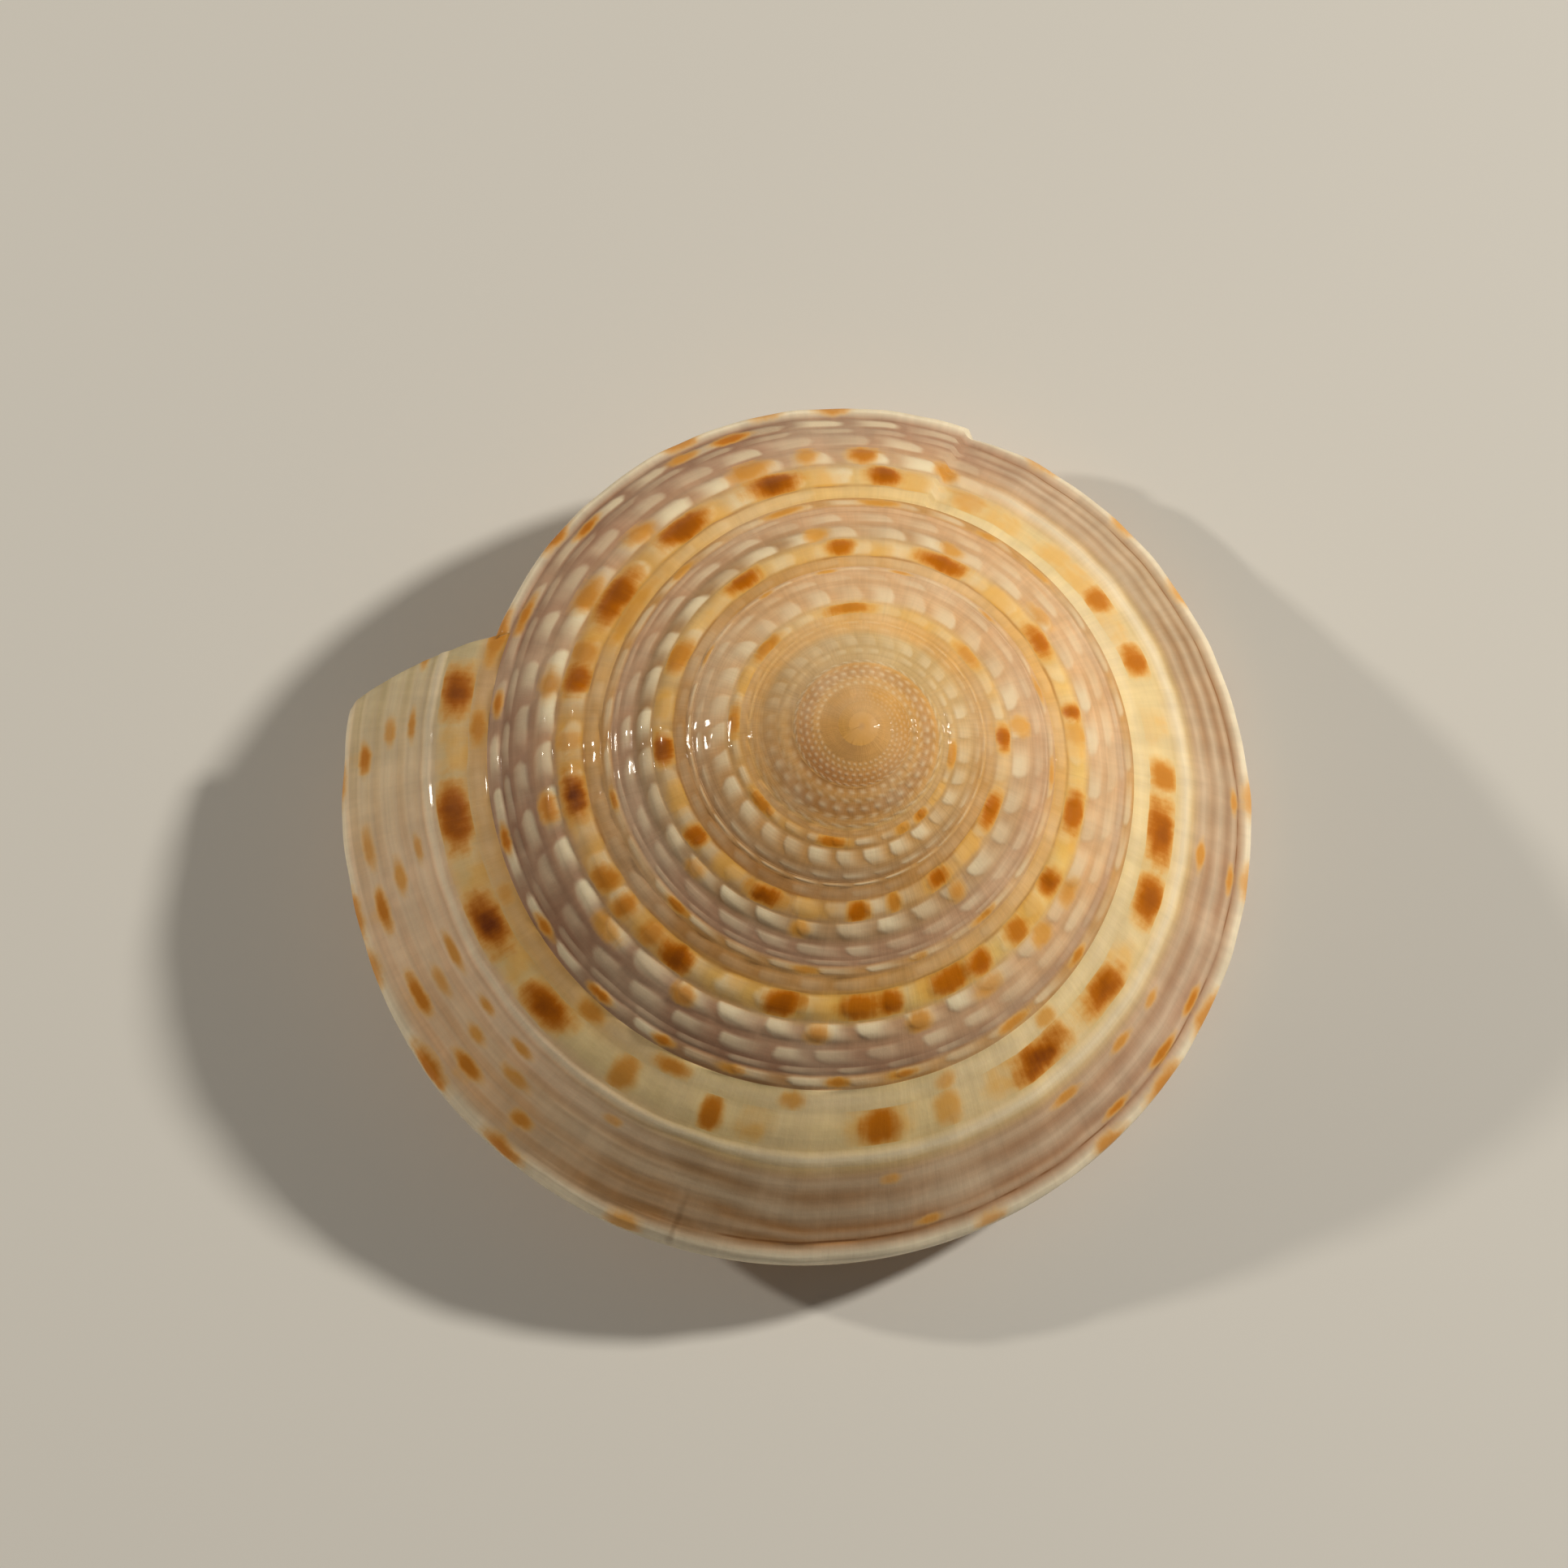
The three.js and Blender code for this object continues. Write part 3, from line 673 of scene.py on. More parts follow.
def upper_corners(skin, sutures, columns, fineness):
    """Corners of neighbouring columns of the upper face, each from its suture to the next."""
    strips, parts = upper_layout(fineness)
    strips = strips.astype(int)
    start = column_angle(columns)
    bounds = strip_edges(start)
    across = mix(bounds[:, strips], bounds[:, strips + 1], parts)
    angle = start[:, None] - SUTURE_LEAN * across
    height = np.full(across.shape, -GROOVE)
    facts = np.zeros((*across.shape, FACTS_PER_CORNER))
    smoother = smooth(0, BEADS_FADE, past_scar(angle, across))
    beaded = smooth(BEADS_START, BEADS_START + BEADS_GROW, angle) * (1 - smoother)
    coil_contrast = np.interp(angle, *zip(*CONTRAST_STAGES))
    ground = ground_colours(angle.mean(axis=1), across, bounds)
    for cord, name in enumerate(CORD_NAMES):
        strip = 2 * cord + 1
        chosen = (strips == strip) | (strips == strip + 1)
        if cord == 0:
            chosen |= strips == 0
        place = np.where(strips == strip, parts, np.where(strips > strip, 1.0, 0.0))[chosen]
        at = angle[:, chosen]
        phase = bead_phase(cord, at, place)
        height[:, chosen] = cord_height(cord, place, phase, beaded[:, chosen], smoother[:, chosen])
        colour = cord_colour(cord, place, ground[:, chosen], smoother[:, chosen])
        contrast = BEAD_CONTRAST[cord] * coil_contrast[:, chosen] * (1 - BEAD_PAINTED_SHADE[cord] * place)
        facts[:, chosen] = corner_facts(
            at, across[:, chosen], colour, mark_facts(name, at, place), phase,
            contrast * crest(place, BEAD_POWER), place, cord,
        )
    for _ in range(round(fineness / POINTS_PER_SOFTENING)):
        height = softened(height)
    height = height * smooth(NUCLEUS_SMOOTH, BEADS_START, angle) + growth_wave(angle)
    height[:, [0, -1]] = 0
    point = upper_point(angle, across, height + scar_drop(angle, across))
    vertices = np.empty(across.shape, dtype=int)
    vertices[:, 1:-1] = skin.add_vertices(angle[:, 1:-1], point[:, 1:-1])
    vertices[:, 0] = sutures[columns]
    free_edge = columns > LAST_ATTACHED
    vertices[~free_edge, -1] = sutures[columns[~free_edge] + NEXT_TURN]
    if free_edge.any():
        vertices[free_edge, -1] = skin.add_vertices(angle[free_edge, -1], point[free_edge, -1])
    return vertices, skin.add_corners(vertices, facts), across


def keel_face(start):
    """Angles, points and facts of the keel's outer face, from the next suture to its edge."""
    part = np.linspace(0, 1, KEEL_FACE_POINTS)
    angle = start - mix(SUTURE_LEAN, KEEL_LEAN, part)
    swell = KEEL_CORD * np.sin(np.pi * part) ** 2 + growth_wave(angle)
    point = keel_face_point(angle, part, swell * np.sin(np.pi * part))
    white = smooth(0, KEEL_WHITE_FROM, part)[:, None]
    colour = mix(cord_colours(len(CORD_NAMES) - 1, angle), linear(PALETTE["porcelain"]), white)
    marks = mark_facts("keel", angle, part)
    return angle, point, corner_facts(angle, KEEL_FACE + part * KEEL_FACE_WIDTH, colour, marks)


def base_marks(angle, across):
    """Marks of the base repeat along the coil, each row with its own uneven spacing."""
    depth, tone, stain = (np.full(angle.shape, outside) for outside in NO_MARKS)
    for row, (place, half_height, apart, half_width, darkness) in enumerate(BASE_MARK_ROWS):
        swing = BASE_MARK_SWING * np.sin(angle / (apart * BASE_MARK_PERIOD) + row)
        count = angle / apart + swing
        along = (count - np.floor(count) - 0.5) * apart
        inside = depth_inside(along / half_width, ((across - place) / half_height) ** 2)
        tone = np.where(inside > depth, darkness, tone)
        depth = np.maximum(inside, depth)
    return depth, tone, stain


def base_face(start):
    """Angles, points and facts of the base, from the keel's edge to the umbilical cord's foot."""
    places, heights = np.array(BASE_CORDS).T
    order = np.arange(len(BASE_CORDS))
    ends = np.cumsum([0, *BASE_SEGMENTS])
    knots = np.interp(np.arange(1, ends[-1] + 1), ends, order)
    across = np.interp(knots, order, places)
    eased = np.floor(knots) + smooth(0, 1, knots - np.floor(knots))
    height = np.interp(eased, order, heights)
    angle = start - base_lean(across)
    phase = angle / BASE_BEADS_APART
    near_cord = np.exp(-(((across - BASE_BEADED_CORD) / BASE_BEADED_WIDTH) ** 2))
    height = height * (1 - BASE_BEAD_DEPTH * near_cord * bead_cut(phase))
    waves = smooth(*BASE_WAVES_FROM, across) * (1 - smooth(*BASE_WAVES_TO, across))
    point = base_point(angle, across, height + growth_wave(angle) * waves)
    places, names = zip(*BASE_COLOURS)
    colour = blended(across, places, linear([PALETTE[name] for name in names]))
    marks = base_marks(angle, across)
    contrast = near_cord * BASE_BEAD_CONTRAST
    facts = corner_facts(angle, BASE_FACE + across, colour, marks, phase, contrast, CORD_MIDDLE)
    return angle, point, facts


def outer_corners(skin, columns, edge, feet):
    """Corners of the keel and the base, from the next suture to the foot of the umbilical cord."""
    start = column_angle(columns)[:, None]
    keel_angle, keel, keel_facts = keel_face(start)
    base_angle, base, base_facts = base_face(start)
    vertices = np.concatenate([
        edge[:, None], skin.add_vertices(keel_angle[:, 1:], keel[:, 1:]),
        skin.add_vertices(base_angle[:, :-1], base[:, :-1]), feet[:, None],
    ], axis=1)
    return vertices, skin.add_corners(vertices, np.concatenate([keel_facts, base_facts], axis=1))


def umbilical_corners(skin, columns, feet, tops):
    """Corners of the umbilical cord and wall, from its foot to the foot on the whorl before."""
    ridge = np.array(RIDGE_PLACES)
    wall = np.array(WALL_PLACES)
    wall_lean = np.interp([*wall, 1], WALL_LEAN_PLACES, WALL_LEANS)
    lean = np.concatenate([np.full(len(ridge) + 1, FOOT_LEAN), wall_lean])
    angle = column_angle(columns)[:, None] - lean
    phase = angle / BASE_BEADS_APART
    on_ridge = slice(1, len(ridge) + 1)
    on_wall = slice(len(ridge) + 1, -1)
    rise = np.sin(np.pi * (ridge - UMBILICUS_FOOT) / (2 * (UMBILICUS_TIP - UMBILICUS_FOOT)))
    height = rise * (UMBILICUS_CORD - UMBILICUS_CRENULATION * bead_cut(phase[:, on_ridge]))
    ridge_point = base_point(angle[:, on_ridge], ridge, height)
    wall_point = umbilical_point(angle[:, on_wall], wall, growth_wave(angle[:, on_wall]))
    place = np.array([0, *(ridge - 1), *wall, 1])
    white = np.exp(-(((place - RIDGE_WHITE) / RIDGE_WHITE_WIDTH) ** 2))
    colour = mix(linear(PALETTE["mauve"]), linear(PALETTE["porcelain"]), white[:, None])
    facts = corner_facts(angle, UMBILICAL_FACE + place, colour, NO_MARKS, phase, white, CORD_MIDDLE)
    vertices = np.concatenate([
        feet[:, None], skin.add_vertices(angle[:, on_ridge], ridge_point),
        skin.add_vertices(angle[:, on_wall], wall_point), tops[:, None],
    ], axis=1)
    return vertices, skin.add_corners(vertices, facts)


def tube_rings():
    """Rings of the tube inside, as (angle, distance from axis, depth), from the lip inwards."""
    angle = LIP_ANGLE - np.arange(0, TUBE_LENGTH + 1, TUBE_STEP)
    wall = mix(TUBE_LIP_WALL, TUBE_WALL, smooth(0, TUBE_LIP_LENGTH, LIP_ANGLE - angle))
    size = suture_radius(angle)
    glaze = TUBE_GLAZE * size / suture_radius(angle - 360)
    ring = []
    for across in TUBE_UPPER:
        at = angle - SUTURE_LEAN * across
        ring.append((at, upper_point(at, across, -wall)))
    at = angle - base_lean(TUBE_KEEL)
    ring.append((at, base_point(at, TUBE_KEEL, -TUBE_KEEL_WALL)))
    for across in TUBE_BASE:
        at = angle - base_lean(across)
        ring.append((at, base_point(at, across, -wall)))
    for part in TUBE_UMBILICAL:
        at = angle - mix(FOOT_LEAN, WALL_LEANS[-1], part)
        ring.append((at, umbilical_point(at, part, 0) + np.stack([wall * size, 0 * wall], -1)))
    for across in TUBE_BEFORE:
        at = angle - 360 + SUTURE_LEAN - base_lean(across)
        ring.append((at + 360, base_point(at, across, glaze)))
    return np.stack([np.stack([at, *point.T], axis=-1) for at, point in ring], axis=1)


def rounded_loop(rings, count):
    """More points on each closed ring, on a smooth curve through its corners."""
    before, after, beyond = (np.roll(rings, shift, axis=1) for shift in (1, -1, -2))
    rows = []
    for part in np.arange(count) / count:
        weights = [
            -0.5 * part + part**2 - 0.5 * part**3, 1 - 2.5 * part**2 + 1.5 * part**3,
            0.5 * part + 2 * part**2 - 1.5 * part**3, -0.5 * part**2 + 0.5 * part**3,
        ]
        corners = zip(weights, (before, rings, after, beyond))
        rows.append(sum(weight * corner for weight, corner in corners))
    return np.stack(rows, axis=2).reshape(rings.shape[0], -1, 3)


def plain_corners(skin, vertices, across, colour_name):
    """Corners with one colour all over, for the faces that carry no cords."""
    angle = np.full(vertices.shape, LIP_ANGLE)
    return skin.add_corners(vertices, corner_facts(angle, across, linear(PALETTE[colour_name])))


def close_loop(skin, loop, angle, point, across, colour_name):
    """Closes a loop of corners with a fan of triangles round one new vertex."""
    centre = skin.add_vertices(np.array([angle]), np.array([point]))
    skin.fan(loop, plain_corners(skin, centre, across, colour_name)[0])


def add_nucleus(skin, loop):
    """The smooth first turn closes over the apex as a little dome with a pit."""
    places = np.concatenate(skin.places)[loop]
    rows = []
    for part in NUCLEUS_RINGS:
        depth = mix(NUCLEUS_DEPTH, -places[:, 2], part**NUCLEUS_FLATNESS)
        radius = np.hypot(places[:, 0], places[:, 1]) * part
        angle = np.degrees(np.arctan2(-places[:, 1], places[:, 0]))
        ring = skin.add_vertices(angle[:-1], np.stack([radius, depth], axis=-1)[:-1])
        rows.append(np.append(ring, ring[0]))
    corners = plain_corners(skin, np.array([*rows, loop]), NUCLEUS_ACROSS, "nucleus")
    skin.weave(corners)
    pit = (0.0, NUCLEUS_DEPTH + NUCLEUS_PIT)
    close_loop(skin, corners[0], 0.0, pit, NUCLEUS_ACROSS, "fawn")


def add_tube(skin):
    """The tube inside. Returns the loop of vertices at its lip."""
    rings = rounded_loop(tube_rings(), TUBE_POINTS_PER_CORNER)
    vertices = skin.add_vertices(rings[..., 0], rings[..., 1:])
    closed = np.concatenate([vertices, vertices[:, :1]], axis=1)
    skin.weave(plain_corners(skin, closed, TUBE_FACE, "cream"))
    x, y, z = np.concatenate(skin.places)[vertices[-1]].mean(axis=0)
    loop = plain_corners(skin, closed[-1][::-1], TUBE_FACE, "cream")
    turned = math.degrees(math.atan2(-y, x))
    close_loop(skin, loop, turned, (math.hypot(x, y), -z), TUBE_FACE, "cream")
    return closed[0]


def length_along(places):
    run = np.concatenate([[0], np.cumsum(np.linalg.norm(np.diff(places, axis=0), axis=1))])
    return run / run[-1]


def add_upper_face(skin, sutures):
    """The upper faces. Returns the vertices of the first and last column and of the outer edge."""
    starts = [max(0, round((angle - FIRST_ANGLE) / STEP)) for angle, _ in FINENESS]
    sections = []
    last = None
    for (_, fineness), start, stop in zip(FINENESS, starts, [*starts[1:], COLUMNS + 1]):
        vertices, corners, across = upper_corners(skin, sutures, np.arange(start, stop), fineness)
        skin.weave(corners)
        if last is not None:
            skin.bridge(*last, corners[0], across[0])
        last = corners[-1], across[-1]
        sections.append(vertices)
    edge = np.concatenate([vertices[:, -1] for vertices in sections])
    return sections[0][0], sections[-1][-1], edge


def add_lip(skin, outside, inside):
    """The lip joins two loops, that of the outer faces and that of the tube."""
    places = np.concatenate(skin.places)
    skin.bridge(
        plain_corners(skin, outside, LIP_FACE, "ivory"), length_along(places[outside]),
        plain_corners(skin, inside, LIP_FACE, "ivory"), length_along(places[inside]),
    )


def build_skin():
    skin = Skin()
    suture_angle = column_angle(np.arange(COLUMNS + 1))
    sutures = skin.add_vertices(suture_angle, suture_point(suture_angle))
    first_column, last_column, edge = add_upper_face(skin, sutures)

    umbilical_start = round((UMBILICUS_START - FIRST_ANGLE) / STEP)
    first_foot = umbilical_start - NEXT_TURN
    foot_angle = column_angle(np.arange(first_foot, COLUMNS + 1)) - FOOT_LEAN
    feet = skin.add_vertices(foot_angle, base_point(foot_angle, UMBILICUS_FOOT, 0))
    attached = np.arange(LAST_ATTACHED, COLUMNS + 1)
    outer, corners = outer_corners(skin, attached, edge[attached], feet[attached - first_foot])
    skin.weave(corners)
    hollow = np.arange(umbilical_start, COLUMNS + 1)
    inner, corners = umbilical_corners(skin, hollow, feet[NEXT_TURN:], feet[:-NEXT_TURN])
    skin.weave(corners)

    add_nucleus(skin, np.concatenate([sutures[NEXT_TURN::-1], first_column[1:]]))
    top_loop = np.concatenate([feet[:NEXT_TURN + 1], inner[0][1:]])
    top = (0.0, suture_point(UMBILICUS_START)[1] + UMBILICUS_TOP_DEPTH)
    top_corners = plain_corners(skin, top_loop, TOP_FACE, "mauve")
    close_loop(skin, top_corners, 0.0, top, TOP_FACE, "mauve")
    tube_loop = add_tube(skin)
    lip = np.concatenate([last_column, outer[-1][1:], inner[-1][1:], outer[0][:-1][::-1]])
    add_lip(skin, lip, tube_loop)
    return skin


def tipped(angle, toward):
    """A turn that tips what points up, towards a direction clockwise from the X axis."""
    toward = math.radians(toward)
    hinge = Vector((math.sin(toward), math.cos(toward), 0))
    return Matrix.Rotation(math.radians(angle), 4, hinge)


LAID_DOWN = Matrix.Translation(REST_PLACE) @ tipped(LEAN_ANGLE, LEAN_TOWARD)


def lay_down(places):
    """Tips the coil axis, moves the shell over the origin and flattens what would be lower."""
    laid = places @ np.array(LAID_DOWN.to_3x3()).T + np.array(REST_PLACE)
    laid[:, 2] = np.maximum(0, laid[:, 2])
    return laid / MM_PER_M


def shell_mesh():
    skin = build_skin()
    places = lay_down(np.concatenate(skin.places))
    vertices = np.concatenate(skin.vertices)
    facts = np.concatenate(skin.facts)
    faces = [*np.concatenate(skin.quads).tolist(), *np.array(skin.triangles).tolist()]
    loops = np.concatenate(faces)
    mesh = bpy.data.meshes.new("shell_surface")
    mesh.from_pydata(places.tolist(), [], [vertices[face].tolist() for face in faces])
    mesh.shade_smooth()
    for name, first in (("place", 0), ("marks", 3), ("cord", 6)):
        layer = mesh.attributes.new(name, "FLOAT_VECTOR", "CORNER")
        layer.data.foreach_set("vector", facts[loops, first:first + 3].ravel())
    ground = mesh.attributes.new("ground", "FLOAT_COLOR", "CORNER")
    opaque = np.ones((len(loops), 1))
    ground.data.foreach_set("color", np.hstack([facts[loops, -3:], opaque]).ravel())
    return mesh


class Nodes:
    """Short calls for the nodes of one material."""

    def __init__(self, material):
        material.use_nodes = True
        self.tree = material.node_tree
        self.tree.nodes.clear()

    def add(self, kind, inputs=(), **settings):
        node = self.tree.nodes.new(kind)
        for name, value in settings.items():
            setattr(node, name, value)
        for key, value in dict(inputs).items():
            if isinstance(value, bpy.types.NodeSocket):
                self.tree.links.new(value, node.inputs[key])
            else:
                node.inputs[key].default_value = value
        return node

    def math(self, operation, first, second=0.0, third=0.0):
        inputs = {0: first, 1: second, 2: third}
        return self.add("ShaderNodeMath", inputs, operation=operation).outputs[0]

    def times(self, value, *others):
        for other in others:
            value = self.math("MULTIPLY", value, other)
        return value

    def ramp(self, value, low, high, out_low=0.0, out_high=1.0):
        """Smooth step of a value from low to high."""
        inputs = {"Value": value, "From Min": low, "From Max": high}
        inputs.update({"To Min": out_low, "To Max": out_high})
        node = self.add("ShaderNodeMapRange", inputs, interpolation_type="SMOOTHSTEP")
        return node.outputs["Result"]

    def within(self, value, start, end):
        """1 between two smooth steps, each given by where it begins and ends, and 0 outside."""
        return self.times(self.ramp(value, *start), self.ramp(value, *end, 1.0, 0.0))

    def off(self, value, place):
        """How far a value is from a place."""
        return self.math("ABSOLUTE", self.math("SUBTRACT", value, place))

    def row(self, value, edge):
        """A smooth step up to the middle between whole values, and down again."""
        return self.ramp(self.math("PINGPONG", value, 0.5), *edge)

    def swayed(self, value, noise, amount):
        """A value moved up and down by a noise, whose own middle is 0.5."""
        return self.math("MULTIPLY_ADD", self.math("SUBTRACT", noise, 0.5), amount, value)

    def mix_colour(self, part, first, second, blend="MIX"):
        inputs = {0: part, 6: first, 7: second}
        node = self.add("ShaderNodeMix", inputs, data_type="RGBA", blend_type=blend)
        return node.outputs[2]

    def shade(self, colour, amount):
        """A colour made lighter or darker by the same part in all its channels."""
        grey = self.add("ShaderNodeCombineColor", {0: amount, 1: amount, 2: amount})
        return self.mix_colour(1.0, colour, grey.outputs[0], "MULTIPLY")

    def vector(self, x, y):
        return self.add("ShaderNodeCombineXYZ", {0: x, 1: y}).outputs[0]

    def noise(self, vector, scale, detail, roughness, dimensions="3D"):
        inputs = {"Vector": vector, "Scale": scale, "Detail": detail, "Roughness": roughness}
        node = self.add("ShaderNodeTexNoise", inputs, noise_dimensions=dimensions)
        return node.outputs[0]

    def finish(self, inputs):
        """The shader, with these inputs, as the surface of the material."""
        shader = self.add("ShaderNodeBsdfPrincipled", inputs)
        self.add("ShaderNodeOutputMaterial", {0: shader.outputs[0]})


def rgba(colour):
    return (*linear(colour).tolist(), 1.0)


# Ramps of the material: where each begins and ends and, where that isn't 0 and 1, what it gives.
# Noises: scale, detail and roughness. Growth lines and striae lie along the coil, others in space.
GROWTH_LINES_PER_TURN = 200
GROWTH_NOISE = (1.0, 4.0, 0.6, "2D")
STRIAE_PER_WHORL = 26
STRIAE_BREAKS_PER_TURN = 8
STRIAE_NOISE = (1.0, 2.0, 0.5, "2D")
MILK_NOISE = (260, 3.0, 0.55)
PATCH_NOISE = (650, 2.0, 0.5)
FLECK_NOISE = (1500, 3.0, 0.6)
# The ground: a milky veil, patches and growth lines that shade it, and striae with their strength.
MILK_COLOUR = rgba((234, 212, 180))
MILK_VEIL = (0.4, 0.7, 0.0, 0.3)
PATCH_SHADE = (0.35, 0.65, 0.93, 1.04)
GROWTH_SHADE = (0.35, 0.65, 0.96, 1.02)
STRIAE_SHADE = (0.35, 0.65, -0.6, 0.4)
STRIAE_STRENGTH = (0.3, 0.5, 0.03, 0.06)
# Beads: where their colour comes in and fades out across a cord, from -1 to 1, how far noise moves
# their ends and sides, and how much of it shows at least, and by chance so much more.
BEAD_COLOUR = rgba((254, 239, 202))
BEAD_INNER_EDGE = (-1.3, -0.75)
BEAD_OUTER_EDGE = (0.0, 1.1)
BEAD_END_SWAY = 0.6
BEAD_SIDE_SWAY = 0.3
BEAD_LEAST = 0.5
BEAD_CHANCE = 0.8
# The earliest whorls have finer rows of beads: rows per whorl, how far each is ahead of the one
# before, the turns they lie between, and how much they and the gaps show.
FINE_ROWS = 5.0
FINE_AHEAD = 0.37
FINE_FROM = (-4.5, -3.7)
FINE_TO = (-2.75, -2.35)
FINE_ROW_EDGE = (0.06, 0.48)
FINE_BEAD_EDGE = (0.06, 0.46)
FINE_BEAD_PART = 0.3
FINE_GAP_PART = 0.05
GAP_COLOUR = rgba((166, 120, 80))
# Fine raised threads near the lip: how many, and where they start along and across the coil.
THREADS_PER_WHORL = 11.5
THREADS_FROM = (1.25, 1.4)
THREADS_ACROSS = (0.36, 0.44)
THREAD_EDGE = (0.2, 0.5)
THREAD_PART = 0.25
# Lines along the coil: place across, edge, the turns where they start and end, how much they show
# on patches, and colour. A golden seam beside the main cord, and a thin brown line at the keel.
COIL_LINES = [
    (0.137, (0.0, 0.03), (-1.1, -0.9), (0.76, 0.8), (0.4, 0.6, 0.2, 0.6), (172, 112, 44)),
    (0.985, (0.003, 0.012), (0.8, 0.86), (1.28, 1.34), (0.4, 0.58, 0.15, 0.7), (140, 88, 40)),
]
# A growth crack near the lip: its turn, how far it sways, its edge, and the places across that it
# starts and ends at.
CRACK_TURN = 1.3055
CRACK_SWAY = 0.004
CRACK_EDGE = (0.0002, 0.002, 0.35, 0.0)
CRACK_FROM = (0.6, 1.0)
CRACK_TO = (1.1, 1.3)
CRACK_COLOUR = rgba((120, 84, 48))
# Marks: how far noises move their edges, and how much each layer covers by the depth inside them.
PATCH_SWAY = 0.9
FLECK_SWAY = 0.6
GROWTH_SWAY = 0.5
STAIN_LAYER = (-0.6, 0.5, 0.0, 0.7)
STAIN_PATCHES = (0.35, 0.6, 0.35, 1.0)
STAIN_COLOUR = rgba((240, 182, 84))
RIM_LAYER = (-0.65, 0.25, 0.0, 0.85)
HALO_LAYER = (-0.3, 0.55)
CORE_LAYER = (0.0, 1.0)
CORE_COLOUR = rgba((120, 54, 4))
# Darker marks cover more, and their halo is brown and not gold.
TONE_COVER = (0.0, 0.5, 0.4, 1.0)
HALO_BY_TONE = (0.1, 0.55)
GOLD_COLOUR = rgba((222, 148, 40))
HALO_COLOUR = rgba((208, 118, 4))
# Relief too fine for the mesh: its depth in metres, and the parts in it of growth lines, striae,
# fine beads, beads, threads and flecks.
RELIEF_DEPTH = 0.00005
RELIEF_PARTS = (0.3, 0.1, 0.2, 0.8, 0.35, 0.4)
FLECK_ROUGHNESS = (0.3, 0.7, 0.42, 0.58)
PORCELAIN = {
    "IOR": 1.5, "Specular IOR Level": 0.12, "Subsurface Weight": 0.06,
    "Subsurface Radius": (1.0, 0.6, 0.4), "Subsurface Scale": 0.0005,
    "Coat Weight": 0.09, "Coat Roughness": 0.06,
}


